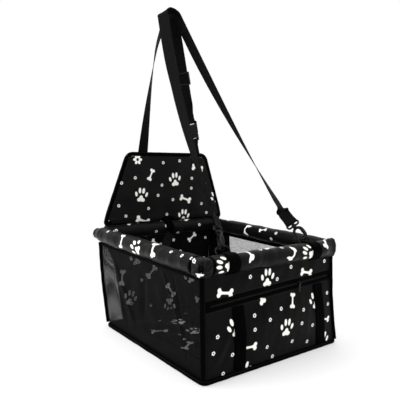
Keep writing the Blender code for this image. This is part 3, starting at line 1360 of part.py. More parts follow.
def make_leash():
    """The safety leash: webbing that hangs from the rear loop and lies on the mat, with its own snap hook."""
    corners = np.array(LEASH_ROUTE_SHARES) * (BASE_WIDTH / 2, BASE_DEPTH / 2, RIM_HEIGHT)
    route = smooth_route(corners + (0, 0, LEASH_REST_HEIGHT), 30)
    tangents = normalised(np.gradient(route, axis=0))
    flat = normalised(np.cross(tangents, np.tile([0.0, 0.0, 1.0], (len(route), 1))))
    start_side = np.array([1.0, 0, 0])
    blend = smooth_step(np.linspace(0, 1, len(route)), 0.0, 0.35)[:, None]
    lying = flat * np.where(flat @ start_side < 0, -1, 1)[:, None]
    sides = normalised(start_side * (1 - blend) + lying * blend)
    sides = normalised(sides - tangents * np.sum(sides * tangents, -1, keepdims=True))
    along = unit(route[-1] - route[-2])
    along[2] = 0
    along = unit(along)
    bar = route[-1] + along * (STRAP_PINCH + STRAP_TAIL * 1.1)
    fold = fold_round_bar(bar, -along, -sides[-1], EYE_WIRE, STRAP_TAIL)
    points = np.concatenate([route[:-1], np.array(fold[::-1])])
    all_sides = np.concatenate([sides[:-1], np.tile(sides[-1], (len(fold), 1))])
    ribbon("leash_strap", points, all_sides, LEASH_WIDTH, black_webbing)
    make_leash_hook(bar, along, sides[-1])


def make_leash_hook(bar, along, side):
    """The leash's snap hook, the same hook lying flat, with its eye on the leash's folded end."""
    up = -along
    origin = bar - up * EYE_BAR_Z
    side = unit(side - up * np.dot(side, up))
    axis_frame = empty("leash_eye_frame", origin, frame_columns(side, np.cross(up, side), up))
    make_eye("leash_eye", axis_frame)
    spinner = empty("leash_swivel_frame", origin, frame_columns(side, np.cross(up, side), up))
    make_hook("leash_hook", spinner)
    make_gate("leash_gate", spinner)


make_floor()
make_base_binding()
make_corner_bindings()
make_side_walls()
make_mesh_top_bindings()
make_rear_wall()
make_rear_gussets()
make_front_wall()
make_pocket_bands()
make_zip()
make_rim()
make_rim_bands()
for word in ("left", "right"):
    make_strap_end(word)
make_hook_strap()
make_flap_strap()
make_buckle()
make_glide()
make_flap()
make_leash()
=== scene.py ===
"""The looks of the dog car seat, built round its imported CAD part.

Metres, +Z up. The origin is the centre of the underside, +X is the seat's right, -Y its front.
Lengths inside a print or a weave are in millimetres of cloth.
"""
import math

import bpy
import numpy as np
from mathutils import Matrix


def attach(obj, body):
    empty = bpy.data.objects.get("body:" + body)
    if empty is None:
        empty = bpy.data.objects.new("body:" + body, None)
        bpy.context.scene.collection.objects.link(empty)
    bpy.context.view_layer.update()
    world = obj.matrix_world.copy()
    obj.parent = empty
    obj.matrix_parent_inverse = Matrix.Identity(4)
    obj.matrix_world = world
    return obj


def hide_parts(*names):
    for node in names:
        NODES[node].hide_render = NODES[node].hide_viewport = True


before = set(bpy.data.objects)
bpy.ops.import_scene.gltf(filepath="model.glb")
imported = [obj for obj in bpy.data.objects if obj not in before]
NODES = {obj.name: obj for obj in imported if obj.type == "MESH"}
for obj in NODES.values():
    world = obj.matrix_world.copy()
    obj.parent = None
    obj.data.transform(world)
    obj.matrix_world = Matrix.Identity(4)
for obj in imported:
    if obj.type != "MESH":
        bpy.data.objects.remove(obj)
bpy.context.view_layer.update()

# Box and rim, as in the part
BASE_WIDTH = 0.400
BASE_DEPTH = 0.400
RIM_LEFT = -0.209
RIM_RIGHT = 0.172
RIM_FRONT = -0.199
RIM_REAR = 0.238
RIM_HEIGHT = 0.2355
REAR_TUCK = 0.008
RIGHT_WALL_BOW = 0.005
REAR_WALL_BOW = 0.006
SLEEVE_RADIUS = 0.0195
CLEARANCE = 0.0003
SEAM_BOTTOM = 0.0106
SEAM_TOP = 0.2157
POST_INSET = 0.0053
BINDING_RADIUS = 0.005
BASE_CORNER_RADIUS = 0.010
BASE_BINDING_Z = 0.0053
WALL_SAG = 0.004
TOP_BINDING_HEIGHT = 0.008
SIDE_SLEEVE_FRONT = -0.1792
SIDE_SLEEVE_REAR = 0.2480
RIGHT_SLEEVE_FRONT = -0.1885
FRONT_SLEEVE_END = 0.1760
CROSS_SLEEVE_START = -0.1892

# Rear wall
GUSSET_WIDTH = 0.034
GUSSET_TAPER = 4
REAR_TOP_SHARE = 1.020
PIPING_RADIUS = 0.0014
PIPING_GAP = 0.0007

# Pocket, zip and webbing
ZIP_HEIGHT = 0.1644
ZIP_SLOPE = 0.017 / 0.380
ZIP_SLOT_HALF = 0.0105
POCKET_BELLY = 0.009
RIGHT_NET_END = 0.86
WEBBING_WIDTH = 0.030
WEBBING_THICKNESS = 0.0015
RIM_BANDS = (-0.1440, 0.0990)
POCKET_BANDS = (-0.1185, 0.1245)
LEASH_WIDTH = 0.025
LEASH_LOOP_X = -0.001

# Flap
FLAP_BOTTOM_WIDTH = 0.396
FLAP_TOP_WIDTH = 0.262
FLAP_TOP_HEIGHT = 0.447
FLAP_BINDING_WIDTH = 0.011
FLAP_BINDING_THICKNESS = 0.007
FLAP_RISE = 0.002
FLAP_AXIS_Z = 0.2606
FLAP_CORNER_RADIUS = 0.022
FLAP_FOOT_RADIUS = 0.0062

# Shared numbers
CLOTH_THICKNESS = 0.0018
NET_THICKNESS = 0.0005
UPRIGHT = np.array([0, 0, 1.0])
FAR = 99.0  # millimetres to a motif or a seam where there is none


# Numbers and shapes

def unit(vector):
    """The vector at length 1."""
    vector = np.asarray(vector, float)
    return vector / np.linalg.norm(vector)


def normalised(rows):
    """Every row's vector at length 1."""
    return rows / np.maximum(np.linalg.norm(rows, axis=-1, keepdims=True), 1e-12)


def hump(share, power=1):
    """Rises from 0 to 1 and falls back to 0 as share runs from 0 to 1."""
    return np.sin(math.pi * np.clip(share, 0, 1)) ** power


def bell(distance, width, power=2):
    """1 where distance is zero, falling off over width; a higher power makes its top flatter."""
    return np.exp(-(distance / width) ** power)


def repeated(vector, count):
    """The same vector in count rows."""
    return np.tile(np.asarray(vector, float), (count, 1))


def smooth_step(value, start, end):
    """Rises softly from 0 at start to 1 at end."""
    share = np.clip((np.asarray(value, float) - start) / (end - start), 0, 1)
    return share * share * (3 - 2 * share)


def ripple(x, y, seed, rows):
    """A soft uneven field: five sine waves for each row's range of lengths, laid out from a seeded table."""
    table = np.random.default_rng(seed)
    total = np.zeros(np.broadcast(x, y).shape)
    for low, high, weight in rows:
        for _ in range(5):
            slant = table.uniform(0, 2 * math.pi)
            length = table.uniform(low, high)
            start = table.uniform(0, 2 * math.pi)
            along = x * math.cos(slant) + y * math.sin(slant)
            total = total + weight * np.sin(along * 2 * math.pi / length + start)
    return total


def crease(x, y, start, end, width, depth):
    """A fold along a line: depth times a bell across the line, fading towards both of its ends."""
    start, end = np.asarray(start, float), np.asarray(end, float)
    along = end - start
    length = np.linalg.norm(along)
    along = along / length
    run = ((x - start[0]) * along[0] + (y - start[1]) * along[1]) / length
    off = -(x - start[0]) * along[1] + (y - start[1]) * along[0]
    fade = smooth_step(run, -0.12, 0.25) * (1 - smooth_step(run, 0.7, 1.12))
    return depth * fade * np.exp(-(off / width) ** 2)


def smooth_route(points, count):
    """count points along a smooth curve through the route's own points (Catmull-Rom)."""
    points = np.asarray(points, float)
    padded = np.vstack([2 * points[0] - points[1], points, 2 * points[-1] - points[-2]])
    spots = np.linspace(0, len(points) - 1, count)
    index = np.minimum(spots.astype(int), len(points) - 2)
    share = (spots - index)[:, None]
    before, start, end, after = (padded[index + shift] for shift in range(4))
    linear = (end - before) * share
    square = (2 * before - 5 * start + 4 * end - after) * share ** 2
    cube = (3 * start - before - 3 * end + after) * share ** 3
    return start + (linear + square + cube) / 2


def run_along(points):
    """Each point's distance from the first one, along the line."""
    return np.concatenate([[0], np.cumsum(np.linalg.norm(np.diff(points, axis=0), axis=1))])


def evenly(points, step, closed=False):
    """The same line with points about step apart."""
    points = np.asarray(points, float)
    if closed:
        points = np.vstack([points, points[:1]])
    run = run_along(points)
    count = max(int(round(run[-1] / step)), 2)
    spots = np.linspace(0, run[-1], count + 1)
    if closed:
        spots = spots[:-1]
    return np.stack([np.interp(spots, run, points[:, axis]) for axis in range(3)], -1)


# Meshes

def make_mesh(name, points, quads, corner_uv, marks=None, triangles=None, triangle_uv=None):
    """One mesh object from whole arrays: points, four-cornered faces, and a UV in metres at each corner."""
    faces = [np.asarray(quads, int)]
    uv = [np.asarray(corner_uv, float).reshape(-1, 2)]
    sizes = [np.full(len(quads), 4)]
    if triangles is not None and len(triangles):
        faces.append(np.asarray(triangles, int))
        uv.append(np.asarray(triangle_uv, float).reshape(-1, 2))
        sizes.append(np.full(len(triangles), 3))
    loops = np.concatenate([part.reshape(-1) for part in faces])
    totals = np.concatenate(sizes)
    mesh = bpy.data.meshes.new(name)
    mesh.vertices.add(len(points))
    mesh.vertices.foreach_set("co", np.asarray(points, np.float32).reshape(-1))
    mesh.loops.add(len(loops))
    mesh.loops.foreach_set("vertex_index", loops.astype(np.int32))
    mesh.polygons.add(len(totals))
    mesh.polygons.foreach_set("loop_start", np.concatenate([[0], np.cumsum(totals)[:-1]]).astype(np.int32))
    mesh.polygons.foreach_set("loop_total", totals.astype(np.int32))
    mesh.polygons.foreach_set("use_smooth", np.ones(len(totals), bool))
    mesh.update(calc_edges=True)
    layer = mesh.uv_layers.new(name="cloth")
    layer.uv.foreach_set("vector", np.concatenate(uv).astype(np.float32).reshape(-1))
    for mark, values in (marks or {}).items():
        attribute = mesh.attributes.new(mark, "FLOAT", "POINT")
        attribute.data.foreach_set("value", np.asarray(values, np.float32))
    mesh.validate()
    item = bpy.data.objects.new(name, mesh)
    bpy.context.scene.collection.objects.link(item)
    return item


def grid_faces(rows, columns, wrap_rows=False, wrap_columns=False):
    """The quads of a grid of points stored row by row, and each corner's row and column number."""
    row_steps = rows if wrap_rows else rows - 1
    column_steps = columns if wrap_columns else columns - 1
    row, column = np.meshgrid(np.arange(row_steps), np.arange(column_steps), indexing="ij")
    row, column = row.reshape(-1), column.reshape(-1)
    corner_rows = np.stack([row, row, row + 1, row + 1], -1)
    corner_columns = np.stack([column, column + 1, column + 1, column], -1)
    faces = (corner_rows % rows) * columns + corner_columns % columns
    return faces, corner_rows, corner_columns


def end_fans(rows, columns, first_middle):
    """The triangles that close a tube stored ring by ring, round a middle point at each end."""
    ring = np.arange(columns)
    after = np.roll(ring, -1)
    last = (rows - 1) * columns
    low = np.stack([after, ring, np.full(columns, first_middle)], -1)
    high = np.stack([ring + last, after + last, np.full(columns, first_middle + 1)], -1)
    return np.concatenate([low, high])


def surface_normals(spots):
    """Unit normals of a grid of points: the cross of its two directions' differences."""
    across = np.gradient(spots, axis=1)
    up = np.gradient(spots, axis=0)
    return normalised(np.cross(across, up))


def plate(name, place, width, height, step, thickness, marks=None):
    """A cloth panel: a grid from place(u, v) moved half the thickness each way along its normals. Its two
    faces are joined by an edge row that stands out by half the thickness."""
    columns = max(int(round(width / step)), 2) + 1
    rows = max(int(round(height / step)), 2) + 1
    u, v = np.meshgrid(np.linspace(0, 1, columns), np.linspace(0, 1, rows))
    spots = place(u, v)
    normals = surface_normals(spots)
    if callable(thickness):
        above, below = thickness(u, v)
    else:
        above = below = np.full(u.shape, thickness / 2)
    front = spots + normals * above[..., None]
    back = spots - normals * below[..., None]
    count = rows * columns
    border = np.concatenate([np.arange(columns), columns * np.arange(1, rows) + columns - 1,
                             count - 2 - np.arange(columns - 1), columns * np.arange(rows - 2, 0, -1)])
    flat = spots.reshape(-1, 3)
    row, column = border // columns, border % columns
    inner = np.clip(row, 1, rows - 2) * columns + np.clip(column, 1, columns - 2)
    outward = normalised(flat[border] - flat[inner])
    rim = flat[border] + outward * ((above + below).reshape(-1)[border] / 2)[:, None]
    points = np.concatenate([front.reshape(-1, 3), back.reshape(-1, 3), rim])
    faces, face_rows, face_columns = grid_faces(rows, columns)
    back_faces = faces[:, ::-1] + count
    uv_front = np.stack([face_columns * width / (columns - 1), face_rows * height / (rows - 1)], -1)
    uv_back = uv_front[:, ::-1]
    after = np.roll(border, -1)
    index = np.arange(len(border)) + 2 * count
    index_after = np.roll(index, -1)
    side_front = np.stack([border, index, index_after, after], -1)
    side_back = np.stack([index, border + count, after + count, index_after], -1)
    place_uv = np.stack([column * width / (columns - 1), row * height / (rows - 1)], -1)
    next_uv = np.roll(place_uv, -1, axis=0)
    uv_side = np.stack([place_uv, place_uv, next_uv, next_uv], 1)
    quads = np.concatenate([faces, back_faces, side_front, side_back])
    uv = np.concatenate([uv_front, uv_back, uv_side, uv_side])
    values = {}
    for mark, value in (marks or {}).items():
        field = value(u, v, spots) if callable(value) else value
        if isinstance(field, tuple):
            first, second = field
        else:
            first, second = field, field
        first, second = first.reshape(-1), second.reshape(-1)
        values[mark] = np.concatenate([first, second, first[border]])
    return make_mesh(name, points, quads, uv, values)


def swept(name, centres, sides, ups, section, closed=False, scale=None, marks=None):
    """A bar along centres: the section's (side, up) points are laid at each centre along its own two
    directions. An open bar is closed by a middle point at each end."""
    centres, sides, ups = (np.asarray(part, float) for part in (centres, sides, ups))
    section = np.asarray(section, float)
    if section.ndim == 2:
        section = np.repeat(section[None], len(centres), axis=0)
    if scale is not None:
        section = section * np.asarray(scale)[:, None, None]
    rows, columns = section.shape[:2]
    points = centres[:, None] + sides[:, None] * section[..., :1] + ups[:, None] * section[..., 1:]
    points = points.reshape(-1, 3)
    faces, face_rows, face_columns = grid_faces(rows, columns, wrap_rows=closed, wrap_columns=True)
    faces, face_rows, face_columns = faces[:, ::-1], face_rows[:, ::-1], face_columns[:, ::-1]
    run = run_along(np.vstack([centres, centres[:1]]) if closed else centres)
    girth = run_along(np.vstack([section[0], section[0][:1]]))
    uv = np.stack([run[face_rows], girth[face_columns]], -1)
    triangles, triangle_uv = None, None
    if not closed:
        triangles = end_fans(rows, columns, len(points))[:, ::-1]
        points = np.vstack([points, points[:columns].mean(0), points[-columns:].mean(0)])
        triangle_uv = np.full((2 * columns, 3, 2), 0.001)
        triangle_uv[:, :, 1] = np.tile(section[0, :, 0], 2)[:, None]
    values = {}
    for mark, value in (marks or {}).items():
        value = np.asarray(value, float).reshape(-1)
        values[mark] = np.concatenate([value, np.full(len(points) - len(value), FAR)])
    item = make_mesh(name, points, faces, uv, values, triangles, triangle_uv)
    outward_check(item)
    return item


def outward_check(item):
    """Turn the faces over if the mesh's volume comes out negative, so that they all face outwards."""
    mesh = item.data
    points = np.zeros(len(mesh.vertices) * 3)
    mesh.vertices.foreach_get("co", points)
    points = points.reshape(-1, 3)
    mesh.calc_loop_triangles()
    index = np.zeros(len(mesh.loop_triangles) * 3, int)
    mesh.loop_triangles.foreach_get("vertices", index)
    corners = points[index.reshape(-1, 3)]
    volume = np.einsum("ij,ij->i", corners[:, 0], np.cross(corners[:, 1], corners[:, 2])).sum()
    if volume < 0:
        mesh.flip_normals()
        mesh.update()


def tangents_of(points, closed=False):
    if closed:
        return normalised(np.roll(points, -1, axis=0) - np.roll(points, 1, axis=0))
    return normalised(np.gradient(points, axis=0))


def moving_sides(points, closed=False, first=(0, 0, 1)):
    """Two directions across a line at each point: up starts near first and is carried along without twist."""
    points = np.asarray(points, float)
    tangents = tangents_of(points, closed)
    up = np.zeros_like(points)
    current = np.asarray(first, float)
    for index, tangent in enumerate(tangents):
        current = current - tangent * np.dot(current, tangent)
        current = current / np.linalg.norm(current)
        up[index] = current
    side = np.cross(tangents, up)
    return side, up


def oval(half_side, half_up, steps, power=2.0):
    """A closed section of steps points; power above 2 squares its corners."""
    angle = np.arange(steps) * 2 * math.pi / steps
    x, y = np.cos(angle), np.sin(angle)
    x, y = (np.sign(part) * np.abs(part) ** (2 / power) for part in (x, y))
    return np.stack([half_side * x, half_up * y], -1)


def flat_bar(width):
    """A webbing section: flat faces, with edges rounded and a little thicker than the middle."""
    side = np.linspace(-1, 1, 15)
    swell = 1 + 0.25 * bell(1 - np.abs(side), 0.09)
    rounded = 0.35 * WEBBING_THICKNESS / width * 2
    past = np.clip((np.abs(side) - (1 - rounded)) / rounded, 0, 1)
    half = WEBBING_THICKNESS / 2 * swell * np.sqrt(np.clip(1 - past ** 2, 0.12, 1))
    top = np.stack([side * width / 2, half], -1)
    bottom = np.stack([side[::-1] * width / 2, -half[::-1]], -1)
    return np.concatenate([top, bottom])


def rod(name, line, radius, closed=False, steps=16, first=(0, 0, 1)):
    """A round bar along a line."""
    side, up = moving_sides(line, closed, first)
    return swept(name, line, side, up, oval(radius, radius, steps), closed)


def finish(item, material, body, slot, *nodes):
    """Give a piece its material and the body it rides on, and hide the CAD nodes it replaces,
    which are the slot's own where none are named."""
    item.data.materials.clear()
    item.data.materials.append(material)
    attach(item, body)
    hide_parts(*(nodes or (slot,)))
    return item


# Printed motifs: each field gives the distance in millimetres to the motif's edge, negative inside

def ellipse_field(x, y, centre, half, turn):
    """About the distance to an ellipse turned by turn degrees."""
    angle = math.radians(turn)
    px, py = x - centre[0], y - centre[1]
    along = px * math.cos(angle) + py * math.sin(angle)
    over = -px * math.sin(angle) + py * math.cos(angle)
    length = np.sqrt((along / half[0]) ** 2 + (over / half[1]) ** 2)
    slope = np.sqrt((along / half[0] ** 2) ** 2 + (over / half[1] ** 2) ** 2) / np.maximum(length, 1e-6)
    return (length - 1) / np.maximum(slope, 1e-3)


def blend_fields(first, second, soft):
    """The smaller of two fields, rounded over soft millimetres where they meet."""
    share = np.clip(0.5 + 0.5 * (second - first) / soft, 0, 1)
    return second * (1 - share) + first * share - soft * share * (1 - share)


def paw_field(x, y):
    """Four long toes over a pad with three lobes below and a rounded point above."""
    toes = [((-5.6, 11.0), (3.9, 7.6), 4), ((5.6, 11.0), (3.9, 7.6), -4),
            ((-15.6, 1.4), (3.7, 6.6), 17), ((15.6, 1.4), (3.7, 6.6), -17)]
    field = np.minimum.reduce([ellipse_field(x, y, centre, half, turn) for centre, half, turn in toes])
    pad = ellipse_field(x, y, (0, -8.2), (5.2, 6.6), 0)
    lobes = [((-6.6, -14.0), (5.0, 4.6), -30), ((6.6, -14.0), (5.0, 4.6), 30), ((0, -13.0), (6.5, 4.0), 0)]
    for centre, half, turn in lobes:
        pad = blend_fields(pad, ellipse_field(x, y, centre, half, turn), 3.5)
    return np.minimum(field, pad)


def flower_field(x, y):
    """A small paw seen as petals: six oval lobes about a dark middle."""
    field = np.full(np.shape(x), FAR)
    for index in range(6):
        angle = math.radians(20 + 60 * index)
        centre = (8.6 * math.cos(angle), 8.6 * math.sin(angle))
        field = np.minimum(field, ellipse_field(x, y, centre, (5.0, 3.7), math.degrees(angle)))
    return field


def bone_field(x, y):
    """A slender shaft that flares into two lobes at each end."""
    half = 14.5
    x, y = np.abs(x), np.abs(y)
    shaft_half = 2.6 + 2.8 * np.clip(x / half, 0, 1.1) ** 3
    shaft = np.maximum(y - shaft_half, x - half)
    lobe = np.hypot(x - half - 1.2, y - 4.6) - 4.9
    return blend_fields(shaft, lobe, 2.2)


def bent_bone_field(x, y):
    """A bone whose shaft bends like a boomerang."""
    return bone_field(x, y + 0.030 * x * x - 3.0)


def ring_field(x, y):
    """A small round spot with five faint lobes and a dark middle."""
    reach = np.hypot(x, y)
    angle = np.arctan2(y, x)
    return np.maximum(reach - 4.1 - 0.5 * np.cos(5 * angle), 1.9 - reach)


MOTIFS = {"paw": (paw_field, 26), "flower": (flower_field, 22), "bone": (bone_field, 26),
          "bent": (bent_bone_field, 28),
          "ring": (ring_field, 8)}


def print_field(x, y, motifs, wrap=None):
    """The distance in millimetres to the nearest motif. x and y are millimetres of cloth, and wrap is the way
    round a tube."""
    field = np.full(np.shape(x), FAR)
    for kind, centre_x, centre_y, turn, *scale in motifs:
        size = scale[0] if scale else 1.0
        shape, reach = MOTIFS[kind]
        px, py = (x - centre_x) / size, (y - centre_y) / size
        if wrap:
            py = (((y - centre_y) + wrap / 2) % wrap - wrap / 2) / size
        near = np.hypot(px, py) < reach
        if not near.any():
            continue
        angle = math.radians(turn)
        along = px[near] * math.cos(angle) + py[near] * math.sin(angle)
        over = -px[near] * math.sin(angle) + py[near] * math.cos(angle)
        field[near] = np.minimum(field[near], shape(along, over) * size)
    return field


def scattered(width, height, seed, left=0.0, low=0.0):
    """Motifs on a slanting lattice over a panel: paws and bones by turns with rings between them."""
    table = np.random.default_rng(seed)
    motifs = []
    row_step, column_step = 52.0, 72.0
    for row in range(-1, int(height / row_step) + 2):
        for column in range(-1, int(width / column_step) + 2):
            x = left + column * column_step + (row % 2) * column_step / 2 + table.uniform(-5, 5)
            y = low + row * row_step + 20 + table.uniform(-5, 5)
            kind = ("paw", "bone", "paw", "bone", "bent")[(row * 3 + column) % 5]
            most = 40 if kind == "paw" else 80
            motifs.append((kind, x, y, table.uniform(-most, most), 0.95))
            for _ in range(2):
                turn = table.uniform(0, 2 * math.pi)
                motifs.append(("ring", x + 36 + 9 * math.cos(turn), y + 8 + 17 * math.sin(turn), 0))
    return motifs


UPPER_MOTIFS = [
    ("bone", -151.8, 177.7, -9), ("paw", -36.6, 193.3, -1), ("bone", 86.0, 187.8, -12, 0.95),
    ("ring", -86.6, 201.2, 0), ("ring", 34.3, 206.7, 0), ("ring", -6.8, 185.4, 0),
    ("ring", 147.6, 206.4, 0)]
POCKET_MOTIFS = [
    ("bone", -56.0, 157.0, -62), ("bone", 40.6, 131.2, -100, 0.8), ("paw", 117.0, 121.0, 14),
    ("paw", 20.3, 76.6, -5), ("paw", -127.0, 106.9, 16), ("bone", -86.5, 55.2, -2, 0.95),
    ("paw", -94.5, 6.0, -6), ("bone", 156.0, 67.4, -9, 0.8), ("paw", 154.6, 18.0, -7),
    ("ring", -74.1, 119.1, 0), ("ring", -74.4, 90.2, 0), ("ring", -31.9, 103.2, 0),
    ("ring", 3.4, 120.0, 0), ("ring", 75.4, 105.1, 0), ("ring", 69.6, 75.7, 0), ("ring", 109.7, 62.8, 0),
    ("ring", 43.8, 38.9, 0), ("ring", 97.0, 25.9, 0), ("ring", -34.7, 43.6, 0), ("ring", -14.0, 17.1, 0),
    ("ring", -170.2, 94.0, 0), ("ring", -179.3, 62.5, 0), ("ring", -151.3, 13.9, 0),
    ("ring", -131.3, 49.4, 0), ("ring", 161.8, 129.0, 0), ("ring", 165.8, 101.7, 0)]
FRONT_SLEEVE_MOTIFS = [
    ("paw", -170.0, 3.0, 76), ("bent", -101.5, 25.0, -63), ("bent", 21.5, 3.5, -128, 0.85),
    ("paw", 71.0, 2.5, 62), ("bone", 140.0, 24.0, -120), ("paw", -40.0, 46.0, 20),
    ("ring", -60.0, 30.0, 0), ("ring", -2.0, 25.0, 0), ("bone", -135.0, 62.0, 20),
    ("paw", 100.0, 66.0, 120), ("ring", 60.0, 52.0, 0), ("bone", 30.0, 78.0, 70),
    ("paw", -90.0, 76.0, 200)]
LEFT_SLEEVE_MOTIFS = [
    ("bent", -88.3, 7.0, -84), ("paw", -21.0, 3.0, 66), ("bone", 47.1, 13.0, -66),
    ("ring", -168.1, 20.2, 0), ("ring", -150.0, 30.2, 0), ("ring", -159.0, 41.0, 0),
    ("ring", 108.2, 19.3, 0), ("ring", 149.2, 17.3, 0), ("ring", 180.5, 18.1, 0),
    ("bone", -55.0, 55.0, 30), ("paw", 40.0, 62.0, 150), ("bone", 120.0, 70.0, -40),
    ("paw", -130.0, 84.0, 60), ("ring", -10.0, 50.0, 0), ("ring", 85.0, 52.0, 0)]
RIGHT_SLEEVE_MOTIFS = [
    ("ring", -35.3, 49.0, 0), ("ring", -21.3, 67.4, 0), ("bent", 79.0, 55.0, 260, 0.85),
    ("bone", 15.3, 46.5, 20, 0.6), ("paw", -120.0, 14.0, 40), ("bone", -60.0, 4.0, -30),
    ("paw", 60.0, 8.0, 160), ("ring", 120.0, 22.0, 0), ("bone", 170.0, 16.0, 70), ("ring", 10.0, 16.0, 0)]
REAR_SLEEVE_MOTIFS = [
    ("ring", -13.0, 8.7, 0), ("ring", -45.9, -5.6, 0), ("ring", 101.2, 3.5, 0), ("ring", -168.0, 8.0, 0),
    ("bone", -110.0, 34.0, 10), ("paw", 60.0, 40.0, 30), ("bone", 150.0, 70.0, -30),
    ("paw", -80.0, 84.0, 190), ("bone", 20.0, 92.0, 40), ("ring", 0.0, 60.0, 0)]
REAR_WALL_MOTIFS = [
    ("bone", 82.5, 202.5, 38, 0.8), ("flower", 171.0, 156.0, -8), ("ring", 131.9, 197.2, 0),
    ("ring", 41.9, 165.0, 0), ("ring", 18.0, 199.8, 0), ("ring", -92.5, 210.0, 0),
    ("paw", -105.0, 163.0, 10), ("bone", -56.7, 117.7, 40), ("paw", -130.0, 60.0, -20),
    ("bone", 0.0, 60.0, -60), ("ring", -39.4, 160.0, 0), ("ring", -90.0, 100.0, 0),
    ("paw", 70.0, 90.0, 15), ("bone", 120.0, 120.0, 60), ("ring", 30.0, 115.0, 0),
    ("ring", 110.0, 60.0, 0), ("paw", -10.0, 20.0, 170), ("bone", 100.0, 24.0, 10),
    ("ring", 150.0, 80.0, 0), ("ring", -70.0, 30.0, 0), ("bone", -150.0, 115.0, 80),
    ("ring", -150.0, 190.0, 0), ("bone", -40.0, 195.0, -30, 0.9)]
FLAP_MOTIFS = [
    ("flower", -99.6, 426.6, -20), ("bone", -58.8, 385.8, -114, 0.8), ("paw", 20.6, 372.7, 6),
    ("paw", -87.8, 332.1, -5), ("bone", 58.6, 315.2, -19, 0.95), ("paw", 54.3, 267.0, -6),
    ("bone", -81.7, 261.5, -18, 1.05), ("bone", 100.4, 403.8, -12), ("paw", 172.5, 319.6, 35),
    ("ring", -18.5, 418.6, 0), ("ring", 36.4, 424.2, 0), ("ring", -106.4, 378.0, 0),
    ("ring", -21.2, 356.5, 0), ("ring", 79.2, 374.5, 0), ("ring", 79.3, 345.8, 0),
    ("ring", -34.1, 328.6, 0), ("ring", 14.4, 315.0, 0), ("ring", -154.7, 305.0, 0),
    ("ring", -133.8, 276.9, 0), ("ring", -64.6, 293.9, 0), ("ring", -3.1, 274.1, 0),
    ("ring", 117.3, 299.0, 0), ("ring", 137.3, 271.3, 0), ("ring", 128.8, 357.5, 0),
    ("ring", 87.3, 256.2, 0, 0.6), ("ring", -146.5, 364.9, 0)]
MAT_MOTIFS = [
    ("bone", -128.0, 69.0, -35), ("paw", -55.0, 96.0, 25), ("bone", -124.0, -42.1, 30),
    ("bone", -120.0, -120.0, -20), ("paw", -60.0, 20.0, -30), ("paw", -70.0, -80.0, 160),
    ("ring", -103.4, 20.0, 0), ("ring", -110.9, -12.0, 0), ("ring", -44.7, -30.0, 0),
    ("ring", -90.0, 130.0, 0), ("bone", 10.0, 60.0, 60), ("paw", 60.0, 110.0, -10),
    ("bone", 120.0, 70.0, 15), ("paw", 110.0, -10.0, 70), ("bone", 30.0, -20.0, -50),
    ("paw", 20.0, -100.0, 20), ("bone", 90.0, -120.0, 40), ("ring", 60.0, -60.0, 0),
    ("ring", 0.0, 140.0, 0), ("ring", 130.0, 140.0, 0), ("ring", 130.0, -70.0, 0)]


# Materials

def new_material(name):
    material = bpy.data.materials.new(name)
    material.use_nodes = True
    tree = material.node_tree
    return material, tree, tree.nodes["Principled BSDF"]


def node(tree, kind, **settings):
    item = tree.nodes.new(kind)
    for key, value in settings.items():
        setattr(item, key, value)
    return item


def set_inputs(item, **values):
    """Give a node's inputs their values; a low line in a word stands for a space in the input's name."""
    for key, value in values.items():
        item.inputs[key.replace("_", " ")].default_value = value


def maths(tree, operation, first, second=None):
    """One arithmetic step; an input is a number or another step's output."""
    item = node(tree, "ShaderNodeMath", operation=operation)
    for socket, value in zip(item.inputs, (first, second)):
        if value is None:
            continue
        if isinstance(value, (int, float)):
            socket.default_value = value
        else:
            tree.links.new(value, socket)
    return item.outputs[0]


def cloth_uv(tree):
    """The cloth's own place in millimetres: along and across."""
    uv = node(tree, "ShaderNodeUVMap", uv_map="cloth")
    split = node(tree, "ShaderNodeSeparateXYZ")
    tree.links.new(uv.outputs[0], split.inputs[0])
    return tuple(maths(tree, "MULTIPLY", split.outputs[index], 1000.0) for index in (0, 1))


def noise(tree, scale, detail=3.0, roughness=0.5):
    """Soft noise in the object's own space, about scale lumps to a metre."""
    coordinates = node(tree, "ShaderNodeTexCoord")
    item = node(tree, "ShaderNodeTexNoise")
    set_inputs(item, Scale=scale, Detail=detail, Roughness=roughness)
    tree.links.new(coordinates.outputs["Object"], item.inputs["Vector"])
    return item.outputs["Fac"]


def ramp(tree, value, low, high, low_out=0.0, high_out=1.0):
    """A soft step from low_out, where value is low, to high_out, where it is high."""
    item = node(tree, "ShaderNodeMapRange", interpolation_type="SMOOTHSTEP")
    set_inputs(item, From_Min=low, From_Max=high, To_Min=low_out, To_Max=high_out)
    tree.links.new(value, item.inputs["Value"])
    return item.outputs["Result"]


def mix_colour(tree, factor, first, second):
    item = node(tree, "ShaderNodeMix", data_type="RGBA")
    tree.links.new(factor, item.inputs["Factor"])
    for socket, value in ((item.inputs[6], first), (item.inputs[7], second)):
        if isinstance(value, tuple):
            socket.default_value = (*value, 1.0)
        else:
            tree.links.new(value, socket)
    return item.outputs[2]


def bump(tree, height, distance, strength=1.0, before=None):
    item = node(tree, "ShaderNodeBump")
    set_inputs(item, Strength=strength, Distance=distance)
    tree.links.new(height, item.inputs["Height"])
    if before is not None:
        tree.links.new(before, item.inputs["Normal"])
    return item.outputs["Normal"]


def mix_shaders(tree, factor, first, second, output):
    """Send the mix of two shaders to the material's or the world's surface."""
    mixer = node(tree, "ShaderNodeMixShader")
    for value, socket in zip((factor, first, second), mixer.inputs):
        tree.links.new(value, socket)
    tree.links.new(mixer.outputs[0], tree.nodes[output].inputs["Surface"])


def two_shades(tree, factor, colour, dark, light):
    """From the colour's dark share to its light share, by factor."""
    darker, lighter = (tuple(part * share for part in colour) for share in (dark, light))
    return mix_colour(tree, factor, darker, lighter)


